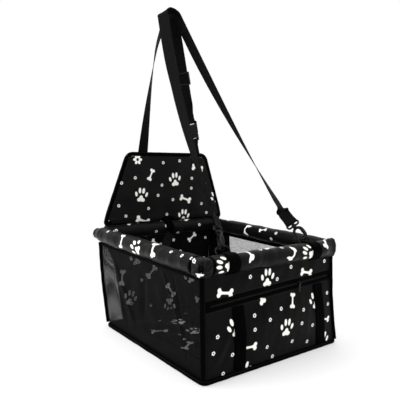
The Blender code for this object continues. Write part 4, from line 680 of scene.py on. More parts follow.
def ribs(tree, place, pitch):
    """A rounded rib every pitch millimetres."""
    return maths(tree, "ABSOLUTE", maths(tree, "SINE", maths(tree, "MULTIPLY", place, math.pi / pitch)))


def stitches(tree, distance, place, length, reach):
    """A dashed line of thread where distance is near zero: a stitch every length millimetres of place."""
    dash = maths(tree, "LESS_THAN", maths(tree, "FRACT", maths(tree, "DIVIDE", place, length)), 0.72)
    return maths(tree, "MULTIPLY", ramp(tree, distance, 0.25, reach, 1.0, 0.0), dash)


CREAM = (0.88, 0.87, 0.82)
THREAD = (0.014, 0.014, 0.014)
STITCH_LENGTH = 3.0
WEAVE_PITCH = 0.62
NET_PITCH = 1.9
DARK = (0.0018, 0.0018, 0.0018)


def printed_cloth(name, colour=DARK, sheen=0.01, roughness=0.34, shine=0.035, printed=True):
    """Black coated cloth with a fine weave and soft sheen, and cream motifs where the print distance is below
    zero."""
    material, tree, shader = new_material(name)
    along, across = cloth_uv(tree)
    base = two_shades(tree, ramp(tree, noise(tree, 18.0), 0.3, 0.7), colour, 0.78, 1.25)
    if printed:
        mark = node(tree, "ShaderNodeAttribute", attribute_name="print_mm")
        fray = maths(tree, "MULTIPLY", maths(tree, "SUBTRACT", noise(tree, 900.0, 1.0), 0.5), 0.5)
        inside = ramp(tree, maths(tree, "ADD", mark.outputs["Fac"], fray), -0.35, 0.35, 1.0, 0.0)
        base = mix_colour(tree, inside, base, CREAM)
        tree.links.new(ramp(tree, inside, 0.0, 1.0, roughness, 0.62), shader.inputs["Roughness"])
    else:
        set_inputs(shader, Roughness=roughness)
    seam = node(tree, "ShaderNodeAttribute", attribute_name="seam_mm").outputs["Fac"]
    thread = stitches(tree, seam, maths(tree, "ADD", along, across), STITCH_LENGTH, 0.55)
    base = mix_colour(tree, thread, base, THREAD)
    pucker = ramp(tree, seam, 0.0, 2.2)
    tree.links.new(base, shader.inputs["Base Color"])
    set_inputs(shader, Specular_IOR_Level=shine, Sheen_Weight=sheen, Sheen_Roughness=0.45,
               Sheen_Tint=(0.9, 0.92, 1.0, 1.0))
    sewn = bump(tree, maths(tree, "ADD", pucker, thread), 0.0006, 0.6)
    weave = maths(tree, "MULTIPLY", ribs(tree, along, WEAVE_PITCH), ribs(tree, across, WEAVE_PITCH))
    fine = bump(tree, weave, 0.00009, 0.5, sewn)
    soft = bump(tree, noise(tree, 55.0, 4.0, 0.6), 0.0012, 0.32, fine)
    tree.links.new(soft, shader.inputs["Normal"])
    return material


def tape_cloth(name, stitch_place=None):
    """Matte binding tape: close ribs across it, and a dashed stitch line where a place across it is given."""
    material, tree, shader = new_material(name)
    along, across = cloth_uv(tree)
    height = ribs(tree, along, 0.9)
    set_inputs(shader, Roughness=0.62, Specular_IOR_Level=0.012)
    base = two_shades(tree, ramp(tree, noise(tree, 40.0), 0.3, 0.7), (0.0005, 0.0005, 0.0005), 0.7, 1.5)
    if stitch_place is not None:
        off = maths(tree, "ABSOLUTE", maths(tree, "SUBTRACT", across, stitch_place))
        thread = stitches(tree, off, along, STITCH_LENGTH, 0.5)
        base = mix_colour(tree, thread, base, THREAD)
        height = maths(tree, "ADD", height, maths(tree, "MULTIPLY", thread, 4.0))
    tree.links.new(base, shader.inputs["Base Color"])
    fine = bump(tree, height, 0.00012, 0.6)
    tree.links.new(bump(tree, noise(tree, 90.0), 0.0008, 0.35, fine), shader.inputs["Normal"])
    return material


def webbing_cloth(name, colour=(0.0012, 0.0013, 0.0014), shine=0.04):
    """Woven webbing: slanting ribs that meet along rows, with a fine thread over them."""
    material, tree, shader = new_material(name)
    along, across = cloth_uv(tree)
    across_pitch, along_pitch = 1.5, 2.1
    sloped = maths(tree, "ADD", along, maths(tree, "PINGPONG", across, across_pitch * 2))
    slant = maths(tree, "SINE", maths(tree, "MULTIPLY", sloped, 2 * math.pi / along_pitch))
    height = maths(tree, "ADD", maths(tree, "MULTIPLY", slant, 0.5), ribs(tree, across, across_pitch))
    # Painted shade and light: the colour is darker in the weave's grooves and lighter on its rib tops.
    base = two_shades(tree, ramp(tree, height, -0.3, 1.2), colour, 0.6, 1.7)
    tree.links.new(base, shader.inputs["Base Color"])
    set_inputs(shader, Roughness=0.62, Specular_IOR_Level=shine)
    tree.links.new(bump(tree, height, 0.00022, 0.7), shader.inputs["Normal"])
    return material


def net_cloth(name, open_level):
    """Net of six-sided holes: three crossing waves added up, clear where their sum is above open_level."""
    material, tree, shader = new_material(name)
    along, across = cloth_uv(tree)
    turn = 2 * math.pi / NET_PITCH
    slant = maths(tree, "MULTIPLY", across, math.sqrt(3) / 2)
    half = maths(tree, "MULTIPLY", along, 0.5)
    places = (along, maths(tree, "ADD", half, slant), maths(tree, "SUBTRACT", half, slant))
    first, second, third = (maths(tree, "COSINE", maths(tree, "MULTIPLY", place, turn)) for place in places)
    total = maths(tree, "ADD", maths(tree, "ADD", first, second), third)
    gap = ramp(tree, total, open_level - 0.12, open_level + 0.12)
    set_inputs(shader, Base_Color=(0.0016, 0.0017, 0.0018, 1.0), Roughness=0.5, Specular_IOR_Level=0.035)
    tree.links.new(bump(tree, total, 0.0003, 0.6), shader.inputs["Normal"])
    clear = node(tree, "ShaderNodeBsdfTransparent")
    mix_shaders(tree, gap, shader.outputs[0], clear.outputs[0], "Material Output")
    return material


def hard_black(name, roughness, grain):
    """Painted metal or plastic with a fine grain."""
    material, tree, shader = new_material(name)
    set_inputs(shader, Base_Color=(0.0015, 0.0015, 0.0017, 1.0), Roughness=roughness, Metallic=0.0,
               Specular_IOR_Level=0.14)
    tree.links.new(bump(tree, noise(tree, 800.0, 2.0), grain, 0.4), shader.inputs["Normal"])
    return material


CLOTH = printed_cloth("printed_cloth")
# The rim's sleeves and gather: a lighter, bluish base colour than the other cloth, painted light for their
# lit tops.
PAINTED_LIT_RIM_CLOTH = printed_cloth("printed_cloth_rim_painted_lit", (0.0024, 0.0025, 0.0028), sheen=0.02, shine=0.06)
# The flap's front: a lighter base colour than the other cloth, painted light for the light it catches.
PAINTED_LIT_FLAP_CLOTH = printed_cloth("printed_cloth_flap_painted_lit", (0.0040, 0.0040, 0.0041), roughness=0.48, shine=0.06)
LINING = printed_cloth("lining_cloth", (0.0040, 0.0040, 0.0040), roughness=0.9, shine=0.0, printed=False)
TAPE = tape_cloth("binding_tape")
STITCHED_TAPE = tape_cloth("binding_tape_stitched", stitch_place=3.2)
WEBBING = webbing_cloth("black_webbing")
BAND_WEBBING = webbing_cloth("black_band_webbing", (0.0003, 0.0003, 0.0003), 0.01)
NET = net_cloth("black_net", open_level=-0.30)
RIGHT_NET = net_cloth("black_net_against_light", open_level=-0.80)
METAL = hard_black("black_metal", 0.26, 0.00004)
PLASTIC = hard_black("black_plastic", 0.30, 0.00005)


# Places on the seat

def corner_point(side_x, side_y, rise):
    """A point on a corner seam, where rise runs from 0 at the base to 1 under the rim."""
    rise = np.asarray(rise, float)
    bow = np.sin(math.pi * rise)
    rim_x = RIM_LEFT if side_x < 0 else RIM_RIGHT
    rim_y = RIM_FRONT if side_y < 0 else RIM_REAR - REAR_TUCK
    x = side_x * BASE_WIDTH / 2 * (1 - rise) + rim_x * rise
    y = side_y * BASE_DEPTH / 2 * (1 - rise) + rim_y * rise
    if side_x > 0:
        x = x - RIGHT_WALL_BOW * bow
    if side_y > 0:
        y = y + REAR_WALL_BOW * bow
    return np.stack([x, y, SEAM_BOTTOM + (SEAM_TOP - SEAM_BOTTOM) * rise], -1)


def wall_point(start, end, across, rise):
    """A point on the ruled wall between two corner seams, where across is 0 to 1 inside the two posts."""
    low = corner_point(*start, rise)
    high = corner_point(*end, rise)
    inset = POST_INSET / np.linalg.norm(high - low, axis=-1, keepdims=True)
    share = inset + (1 - 2 * inset) * np.asarray(across, float)[..., None]
    return low + (high - low) * share


def rise_of(z):
    return (z - SEAM_BOTTOM) / (SEAM_TOP - SEAM_BOTTOM)


def zip_z(x):
    """The slanting zip's height at x."""
    return ZIP_HEIGHT + ZIP_SLOPE * x


def front_spot(share, z):
    """A point of the front wall at a share of its width and a height."""
    return wall_point((-1, -1), (1, -1), share, rise_of(z))


def rear_point(share, rise):
    """A point of the rear wall at a share of the way from its left corner seam to its right one."""
    low, high = corner_point(-1, 1, rise), corner_point(1, 1, rise)
    return low + (high - low) * np.asarray(share, float)[..., None]


def rear_span(rise):
    return np.linalg.norm(corner_point(1, 1, rise) - corner_point(-1, 1, rise), axis=-1)


def gusset_edge(rise):
    """How far the rear panel's piped seam stands from the corner seam; it closes on it towards the top."""
    return POST_INSET + PIPING_RADIUS * 2 + GUSSET_WIDTH * (1 - np.minimum(rise, 1) ** GUSSET_TAPER)


# Floor

def nothing_near(u, v, spots):
    return np.full(u.shape, FAR)


UNMARKED = {"print_mm": nothing_near, "seam_mm": nothing_near}


def printed_marks(coordinates, motifs, back=None, seams=()):
    """The print and stitch fields of a panel. coordinates turns its points into millimetres of cloth; each of
    seams gives the distance to a stitch line from those; back holds the motifs of the panel's other face."""
    def print_mark(u, v, spots):
        x, y = coordinates(u, v, spots)
        front = print_field(x, y, motifs)
        if back is None:
            return front, np.full(front.shape, FAR)
        return front, print_field(-x, y, back)

    def seam_mark(u, v, spots):
        x, y = coordinates(u, v, spots)
        field = np.full(x.shape, FAR)
        for seam in seams:
            field = np.minimum(field, np.abs(seam(x, y, u, v)))
        return field
    return {"print_mm": print_mark, "seam_mm": seam_mark}


def flat_xz(u, v, spots):
    return spots[..., 0] * 1000, spots[..., 2] * 1000


def flat_xy(u, v, spots):
    return spots[..., 0] * 1000, spots[..., 1] * 1000


UNDERSIDE_Z = 0.00075
MAT_WIDTH, MAT_DEPTH, MAT_MIDDLE_Z = 0.300, 0.335, 0.0086
# How far the mat's sides are drawn in at their middles, and its stitch line's millimetres from the edge
MAT_DRAW = 0.004
MAT_SEAM = 11.0


def make_floor():
    """The underside cloth, and the mat: a padded slab whose faces swell from a rounded, piped edge."""
    half = BASE_WIDTH / 2 - (BINDING_RADIUS + CLEARANCE) - POST_INSET

    def under(u, v):
        return np.stack([(2 * u - 1) * half, (2 * v - 1) * half, np.full_like(u, UNDERSIDE_Z)], -1)
    base = plate("base_cloth", under, 2 * half, 2 * half, 0.004, 0.0013, UNMARKED)
    finish(base, LINING, "box", "base_panel")

    width, depth = MAT_WIDTH, MAT_DEPTH

    def from_edge(u, v):
        return np.minimum(np.minimum(u, 1 - u) * width, np.minimum(v, 1 - v) * depth)

    def middle(u, v):
        x, y = 2 * u - 1, 2 * v - 1
        wave = ripple(x * 0.15, y * 0.17, 3, [(0.05, 0.12, 0.00035)]) * (1 - x ** 6) * (1 - y ** 6)
        drawn_x = x * (width / 2 - MAT_DRAW * (1 - y * y))
        drawn_y = y * (depth / 2 - MAT_DRAW * (1 - x * x))
        return np.stack([drawn_x, drawn_y, MAT_MIDDLE_Z + wave], -1)

    def halves(u, v):
        near = from_edge(u, v)
        round_edge = np.sqrt(np.clip(1 - (1 - np.clip(near / 0.006, 0, 1)) ** 2, 0.02, 1))
        x, y = 2 * u - 1, 2 * v - 1
        crown = 0.003 * (1 - x ** 4) * (1 - y ** 4) + ripple(x * 0.15, y * 0.17, 7, [(0.02, 0.05, 0.00010)])
        above = 0.0033 * round_edge + crown * round_edge - 0.0014 * bell(near - MAT_SEAM / 1000, 0.0022)
        return above, 0.0032 * round_edge
    marks = printed_marks(flat_xy, MAT_MOTIFS, None, [lambda x, y, u, v: from_edge(u, v) * 1000 - MAT_SEAM])
    mat = plate("floor_mat_cushion", middle, width, depth, 0.0017, halves, marks)
    finish(mat, CLOTH, "box", "floor_mat")


def make_base_binding():
    """The foot tape: a folded oval bar round the rounded square, with a slight waver."""
    half_x = BASE_WIDTH / 2 - BASE_CORNER_RADIUS
    half_y = BASE_DEPTH / 2 - BASE_CORNER_RADIUS
    points = []
    for quarter, (side_x, side_y) in enumerate(((1, 1), (-1, 1), (-1, -1), (1, -1))):
        for step in range(9):
            angle = math.pi / 2 * (quarter + step / 8)
            points.append((side_x * half_x + BASE_CORNER_RADIUS * math.cos(angle),
                           side_y * half_y + BASE_CORNER_RADIUS * math.sin(angle), BASE_BINDING_Z))
    line = evenly(points, 0.0022, True)
    side, up = moving_sides(line, True)
    waver = ripple(line[:, 0], line[:, 1], 11, [(0.03, 0.09, 0.00012)])
    line = line + side * waver[:, None]
    section = oval(0.0045, 0.0050, 20, 2.7)
    scale = 1 + ripple(line[:, 0] + 1, line[:, 1], 12, [(0.012, 0.03, 0.008)])
    item = swept("base_tape", line, side, up, section, True, scale=scale)
    finish(item, STITCHED_TAPE, "box", "base_binding")


def make_corner_tapes():
    """The four corner tapes: flat folded bars up the seams that waver a little and thicken at the foot."""
    corners = {"front_left": (-1, -1), "front_right": (1, -1), "rear_left": (-1, 1), "rear_right": (1, 1)}
    for word, (side_x, side_y) in corners.items():
        rises = np.linspace(0.006, 0.994, 110)
        line = corner_point(side_x, side_y, rises)
        outward = unit((side_x, side_y, 0))
        tangent = tangents_of(line)
        up = normalised(outward - tangent * (tangent @ outward)[:, None])
        side = np.cross(tangent, up)
        waver = ripple(rises * 0.2, rises * 0, 20 + side_x + 2 * side_y, [(0.02, 0.07, 0.00010)])
        line = line + up * waver[:, None]
        swell = 1 + 0.10 * bell(rises, 0.03) + ripple(rises * 0.2, rises * 0 + 1, 24, [(0.008, 0.02, 0.008)])
        item = swept("corner_tape_" + word, line, side, up, oval(0.0056, 0.0040, 24, 3.0), scale=swell)
        finish(item, STITCHED_TAPE, "box", "corner_binding_" + word)


# Walls

LEFT_CREASES = [
    ((0.175, 0.205), (0.065, 0.040), 0.006, -0.0035), ((0.170, 0.150), (0.090, 0.030), 0.010, 0.0030),
    ((-0.060, 0.205), (-0.130, 0.080), 0.006, -0.0040), ((-0.100, 0.205), (-0.150, 0.020), 0.005, 0.0035),
    ((-0.150, 0.160), (-0.185, 0.030), 0.007, -0.0025), ((0.020, 0.190), (0.030, 0.060), 0.012, 0.0025)]
RIGHT_CREASES = [
    ((-0.120, 0.205), (-0.060, 0.040), 0.008, 0.0025), ((0.120, 0.200), (0.150, 0.060), 0.008, -0.0025),
    ((0.000, 0.205), (0.030, 0.050), 0.010, 0.0025)]


def make_side_nets():
    """The two mesh sides: ruled between the corner seams, hanging inwards, with long slack folds."""
    for side, word, creases in ((-1, "left", LEFT_CREASES), (1, "right", RIGHT_CREASES)):
        top = 1 - (TOP_BINDING_HEIGHT + CLEARANCE) / (SEAM_TOP - SEAM_BOTTOM)

        def place(u, v, side=side, creases=creases, top=top):
            spots = wall_point((side, -1), (side, 1), u, v * top)
            sag = WALL_SAG * hump(u) * hump(v)
            fold = sum(crease(spots[..., 1], spots[..., 2], *row) for row in creases)
            fold = fold + ripple(spots[..., 1], spots[..., 2] * 0.5, 31 + side, [(0.03, 0.08, 0.00025)])
            spots[..., 0] -= side * (sag + fold * hump(u, 0.6) * hump(v, 0.6))
            return spots
        spans = [(0, 1, NET, "_net")]
        if side > 0:
            spans = [(0, RIGHT_NET_END, RIGHT_NET, "_net"), (RIGHT_NET_END, 1, CLOTH, "_rear_cloth")]
        for start, end, material, ending in spans:
            def part(u, v, start=start, end=end, place=place):
                return place(start + (end - start) * u, v)
            panel = plate(word + ending, part, 0.420 * (end - start), 0.197, 0.0022, NET_THICKNESS, UNMARKED)
            finish(panel, material, "box", word + "_mesh_wall")
        low = 1 - TOP_BINDING_HEIGHT / (SEAM_TOP - SEAM_BOTTOM)
        across = np.linspace(0, 1, 150)
        line = wall_point((side, -1), (side, 1), across, np.full_like(across, (low + 1) / 2))
        line[:, 2] += 0.0010 - 0.0008 * np.sin(math.pi * across)
        sides, ups = moving_sides(line, first=(side, 0, 0))
        tape = swept(word + "_net_tape", line, sides, ups,
                     oval(TOP_BINDING_HEIGHT / 2 + 0.0013, 0.0015, 20, 3.2))
        finish(tape, TAPE, "box", word + "_mesh_top_binding")


def make_rear_wall():
    """The printed rear panel, which bulges a little, between two piped seams and their strips: net on the
    left and printed cloth on the right, as in the photo."""
    def place(u, v):
        v = v * (REAR_TOP_SHARE + 0.06 * smooth_step(u, 0.93, 1))
        edge = (gusset_edge(v) + PIPING_RADIUS + PIPING_GAP) / rear_span(v)
        spots = rear_point(edge + (1 - 2 * edge) * u, v)
        held = hump(u) * hump(v)
        rows = [(0.05, 0.14, 0.0004), (0.015, 0.04, 0.00008)]
        spots[..., 1] += WALL_SAG * held + held * ripple(spots[..., 0], spots[..., 2], 41, rows)
        return spots
    marks = printed_marks(flat_xz, REAR_WALL_MOTIFS, scattered(400, 220, 5, -200, 0), [
        lambda x, y, u, v: y - 209.0, lambda x, y, u, v: np.minimum(u, 1 - u) * 330 - 4.0])
    panel = plate("rear_cloth", place, 0.335, 0.203, 0.0016, CLOTH_THICKNESS, marks)
    finish(panel, CLOTH, "box", "rear_wall")
    for side, word in ((-1, "left"), (1, "right")):
        def strip(u, v, side=side):
            v = v * (REAR_TOP_SHARE + (0.06 if side > 0 else 0))
            near = POST_INSET / rear_span(v)
            far = (gusset_edge(v) - PIPING_RADIUS - PIPING_GAP) / rear_span(v)
            share = near + (far - near) * u
            return rear_point(share if side < 0 else 1 - share, v)
        step, material, marks = 0.002, NET, UNMARKED
        if side > 0:
            step, material, marks = 0.0014, CLOTH, printed_marks(flat_xz, [("flower", 161.0, 155.0, 0)])
        panel = plate("rear_%s_strip" % word, strip, 0.032, 0.203, step, NET_THICKNESS, marks)
        finish(panel, material, "box", "rear_%s_mesh_gusset" % word)
        rises = np.linspace(0, REAR_TOP_SHARE, 90)
        share = gusset_edge(rises) / rear_span(rises)
        line = rear_point(share if side < 0 else 1 - share, rises)
        piping = rod("rear_%s_piping" % word, line, PIPING_RADIUS, steps=12, first=(0, -1, 0))
        finish(piping, TAPE, "box", "rear_%s_seam_piping" % word)


# Front, pocket and zip

POCKET_CREASES = [
    ((-0.192, 0.006), (-0.128, 0.120), 0.0075, 0.0026), ((-0.176, 0.004), (-0.116, 0.110), 0.0070, -0.0016),
    ((-0.100, 0.150), (-0.100, 0.020), 0.010, -0.0012), ((0.110, 0.150), (0.105, 0.020), 0.012, -0.0010)]


def pocket_face(u, v, offset=0.0):
    """The pocket's cloth: swollen forward between its seams, with a slanting crease near its left side."""
    x = front_spot(u, np.full_like(u, ZIP_HEIGHT))[..., 0]
    top = zip_z(x) - ZIP_SLOT_HALF - CLEARANCE
    spots = front_spot(u, SEAM_BOTTOM + (top - SEAM_BOTTOM) * v)
    x, z = spots[..., 0], spots[..., 2]
    fold = sum(crease(x, z, *row) for row in POCKET_CREASES)
    fold = fold + ripple(x, z, 51, [(0.05, 0.13, 0.00035), (0.018, 0.04, 0.00008)])
    belly = POCKET_BELLY * hump(u, 0.7) * hump(v, 1.5)
    spots[..., 1] -= belly + offset + fold * hump(u, 0.5) * hump(v, 0.5)
    return spots


# Stitch lines in millimetres: above and below the zip's middle, and the front's height under the rim
ZIP_SEAM = 13.4
FRONT_SEAM_Z = 212.4


def make_front():
    """The front wall: its lining, the cloth above the zip, the pocket with its two bands, and the zip."""
    def lining(u, v):
        spots = front_spot(u, SEAM_BOTTOM + (SEAM_TOP - SEAM_BOTTOM) * v)
        spots[..., 1] += 0.0035
        return spots

    def upper(u, v):
        x = front_spot(u, np.full_like(u, ZIP_HEIGHT))[..., 0]
        bottom = zip_z(x) + ZIP_SLOT_HALF + CLEARANCE
        spots = front_spot(u, bottom + (SEAM_TOP - bottom) * v)
        held = hump(u, 0.5) * hump(v, 0.5)
        spots[..., 1] -= held * (0.0004 + ripple(spots[..., 0], spots[..., 2], 53, [(0.03, 0.10, 0.0003)]))
        return spots

    def beside_zip(distance):
        return lambda x, y, u, v: y - (zip_z(x / 1000) * 1000 + distance)

    def under_rim(x, y, u, v):
        return y - FRONT_SEAM_Z
    width = 0.389
    panel = plate("front_lining", lining, width, 0.205, 0.003, 0.0016, UNMARKED)
    finish(panel, LINING, "box", "front_wall_lining")
    marks = printed_marks(flat_xz, UPPER_MOTIFS, None, [under_rim, beside_zip(ZIP_SEAM)])
    panel = plate("front_cloth", upper, width, 0.041, 0.0013, CLOTH_THICKNESS, marks)
    finish(panel, CLOTH, "box", "front_wall_upper")
    marks = printed_marks(flat_xz, POCKET_MOTIFS, None, [beside_zip(-ZIP_SEAM)])
    panel = plate("pocket_cloth", pocket_face, width, 0.144, 0.0014, CLOTH_THICKNESS, marks)
    finish(panel, CLOTH, "box", "pocket_panel")
    left_end = front_spot(np.array(0.0), np.array(ZIP_HEIGHT))[0]
    right_end = front_spot(np.array(1.0), np.array(ZIP_HEIGHT))[0]
    for middle, word in zip(POCKET_BANDS, ("left", "right")):
        share = (middle - left_end) / (right_end - left_end)
        v = np.linspace(0.004, 1 - 0.003 / (ZIP_HEIGHT - SEAM_BOTTOM), 70)
        offset = CLOTH_THICKNESS / 2 + WEBBING_THICKNESS / 2 + 2 * CLEARANCE
        line = pocket_face(np.full_like(v, share), v, offset)
        sides = repeated((1, 0, 0), len(v))
        ups = normalised(np.cross(sides, tangents_of(line)))
        band = swept("pocket_band_strap_" + word, line, sides, ups, flat_bar(WEBBING_WIDTH))
        finish(band, BAND_WEBBING, "box", "pocket_band_" + word)
    make_zip(left_end, right_end)


def make_zip(left_end, right_end):
    """The zip: a tape with a raised fold along each side, and a coil tooth every 2 mm in two rows, half a
    step apart."""
    slope = math.atan(ZIP_SLOPE)
    along = np.array([math.cos(slope), 0, math.sin(slope)])
    upward = np.array([-math.sin(slope), 0, math.cos(slope)])
    home = np.array([0, -BASE_DEPTH / 2, ZIP_HEIGHT])
    length = right_end - left_end - 0.004
    middle = (left_end + right_end) / 2
    half = ZIP_SLOT_HALF - CLEARANCE

    def tape(u, v):
        x, z = middle + (u - 0.5) * length, (2 * v - 1) * half
        out = 0.0012 * bell(np.abs(z) - 0.0078, 0.0016) - 0.0004 * bell(z, 0.002)
        return home + x[..., None] * along + z[..., None] * upward + np.array([0, -1, 0]) * out[..., None]
    item = plate("zip_cloth", tape, length, 2 * half, 0.0008, 0.0010, UNMARKED)
    finish(item, TAPE, "box", "zip_tapes")
    pitch = 0.0020
    count = int((length - 0.020) / pitch)
    rings, corners = 5, 8  # of a tooth's mesh
    turn = np.arange(corners) * 2 * math.pi / corners
    rows = np.linspace(-1, 1, rings)
    swell = np.sqrt(np.clip(1 - np.abs(rows) ** 3, 0.08, 1))[:, None]
    blob_x = (swell * np.cos(turn) * 0.00075)[..., None]
    blob_y = (swell * np.sin(turn) * 0.0011)[..., None]
    blob_z = np.repeat((rows * 0.0012)[:, None], corners, 1)[..., None]
    blob = blob_x * along + blob_y * np.array([0, 1, 0]) + blob_z * upward
    tooth = np.concatenate([blob.reshape(-1, 3), blob[:1].mean(1), blob[-1:].mean(1)])
    points = []
    for row_side in (1, -1):
        place = middle + (np.arange(count) - (count - 1) / 2) * pitch + (pitch / 2 if row_side < 0 else 0)
        centre = home + place[:, None] * along + row_side * 0.0011 * upward
        points.append((centre[:, None] + tooth).reshape(-1, 3))
    quads, _, _ = grid_faces(rings, corners, wrap_columns=True)
    first = len(tooth) * np.arange(2 * count)[:, None, None]
    faces = (quads + first).reshape(-1, 4)
    triangles = (end_fans(rings, corners, rings * corners) + first).reshape(-1, 3)
    item = make_mesh("zip_coil", np.concatenate(points), faces, np.zeros((len(faces), 4, 2)), None,
                     triangles, np.zeros((len(triangles), 3, 2)))
    outward_check(item)
    finish(item, PLASTIC, "box", "zip_teeth")


# Rim

def make_sleeve(name, start, direction, inner, length, seed, motifs, flip, ends, shape, slot):
    """A cloth sleeve round its tube: circles along the tube whose radius falls by soft wrinkles, long ones
    twisting round it and short ones at its ends; each end is rounded over by the given radius. Over the last
    reach of shape the circle's width and height change by the two shares given first. flip says whether cloth
    millimetres run against the sleeve's direction."""
    start, direction, inner = (np.asarray(part, float) for part in (start, direction, inner))
    step = 0.0015
    columns = int(round(2 * math.pi * SLEEVE_RADIUS / step))
    rows = int(round(length / step)) + 1
    low, high = ends
    turn = np.linspace(0, math.pi / 2, 7)
    first = low * (1 - np.cos(turn))
    last = length - high * (1 - np.cos(turn))[::-1]
    run = np.concatenate([first[:-1], np.linspace(low, length - high, rows), last[1:]])
    lowered_first, lowered_last = low * (1 - np.sin(turn)), high * (1 - np.sin(turn))
    lowered = np.concatenate([lowered_first[:-1], np.zeros(rows), lowered_last[::-1][1:]])
    angle = np.arange(columns) * 2 * math.pi / columns
    along, round_angle = np.meshgrid(run, angle, indexing="ij")
    wrinkle = np.zeros(along.shape)
    table = np.random.default_rng(seed)
    waves = ((0.05, 0.12, 0.00028, 1), (0.02, 0.05, 0.00013, 2), (0.10, 0.25, 0.00040, 1))
    for shortest, longest, weight, turns in waves:
        for _ in range(4):
            wave = table.uniform(shortest, longest)
            twist = table.integers(-turns, turns + 1) * round_angle
            wrinkle += weight * np.sin(2 * math.pi * along / wave + twist + table.uniform(0, 6.3))
    near_end = bell(along, 0.020) + bell(length - along, 0.020)
    wrinkle += near_end * 0.0004 * np.sin(9 * round_angle + 40 * along)
    radius = SLEEVE_RADIUS - 0.0006 - np.repeat(lowered[:, None], columns, 1)
    radius = radius + np.clip(wrinkle, -0.0016, 0.0006)
    wider, taller, reach = shape
    near = smooth_step(along, length - reach, length - reach * 0.25)
    lip = 1 + 0.035 * bell(length - 0.0035 - along, 0.0020)
    section_side = radius * np.cos(round_angle) * (1 + wider * near) * lip
    section_up = radius * np.sin(round_angle) * (1 + taller * near) * lip
    section = np.stack([section_side, section_up], -1)
    centres = start + run[:, None] * direction
    sides, ups = repeated(inner, len(run)), repeated(UPRIGHT, len(run))
    place = (start @ direction + along) * 1000
    cloth_x = -place if flip else place
    cloth_y = (math.pi - round_angle) * SLEEVE_RADIUS * 1000
    girth = 2 * math.pi * SLEEVE_RADIUS * 1000
    cloth_y = np.where(cloth_y < -girth / 4, cloth_y + girth, cloth_y)
    marks = {"print_mm": print_field(cloth_x, cloth_y, motifs, wrap=girth),
             "seam_mm": np.full(along.shape, FAR)}
    item = swept(name, centres, sides, ups, section, marks=marks)
    finish(item, PAINTED_LIT_RIM_CLOTH, "box", slot)


def make_rim():
    """The four sleeves. The side ones taper at the rear, and the front one grows thin and tall at its right
    end."""
    side_length = SIDE_SLEEVE_REAR - SIDE_SLEEVE_FRONT
    right_length = SIDE_SLEEVE_REAR - RIGHT_SLEEVE_FRONT
    cross_length = RIM_RIGHT - RIM_LEFT - 2 * (SLEEVE_RADIUS + CLEARANCE)
    front_length = FRONT_SLEEVE_END - CROSS_SLEEVE_START
    back, right, left = (0, 1, 0), (1, 0, 0), (-1, 0, 0)
    narrowing = (-0.32, -0.32, 0.036)
    rows = [
        ("left", (RIM_LEFT, SIDE_SLEEVE_FRONT), back, right, side_length, LEFT_SLEEVE_MOTIFS, 0.0025,
         narrowing),
        ("right", (RIM_RIGHT, RIGHT_SLEEVE_FRONT), back, left, right_length, RIGHT_SLEEVE_MOTIFS, 0.0025,
         narrowing),
        ("rear", (CROSS_SLEEVE_START, RIM_REAR), right, back, cross_length, REAR_SLEEVE_MOTIFS, 0.002,
         (0, 0, 0.02)),
        ("front", (CROSS_SLEEVE_START, RIM_FRONT), right, back, front_length, FRONT_SLEEVE_MOTIFS, 0.0015,
         (-0.41, 0.19, 0.046))]
    for seed, (word, start, direction, inner, length, motifs, last_round, shape) in enumerate(rows, 61):
        make_sleeve(word + "_rim_cloth", (*start, RIM_HEIGHT), direction, inner, length, seed, motifs,
                    word == "left", (0.002, last_round), shape, "rim_sleeve_" + word)


RIDGE_BEHIND, RIDGE_ABOVE = 0.0082, 0.0180


def make_sleeve_ridge():
    """The sewn ridge along the back of the rear sleeve's top, which the flap stands against, in two runs
    beside the leash's loop."""
    for start, end, word in ((-0.1880, -0.0170, "left"), (0.0150, 0.1880, "right")):
        x = np.linspace(start, end, 90)
        y, z = RIM_REAR + RIDGE_BEHIND, RIM_HEIGHT + RIDGE_ABOVE
        line = np.stack([x, np.full_like(x, y), np.full_like(x, z)], -1)
        line[:, 2] += ripple(x, x * 0, 91, [(0.02, 0.06, 0.00012)])
        sides, ups = repeated(UPRIGHT, len(x)), repeated((0, -1, 0), len(x))
        ridge = swept("rear_rim_ridge_" + word, line, sides, ups, oval(0.0056, 0.0010, 16, 3.0))
        finish(ridge, TAPE, "box", "rim_sleeve_rear")


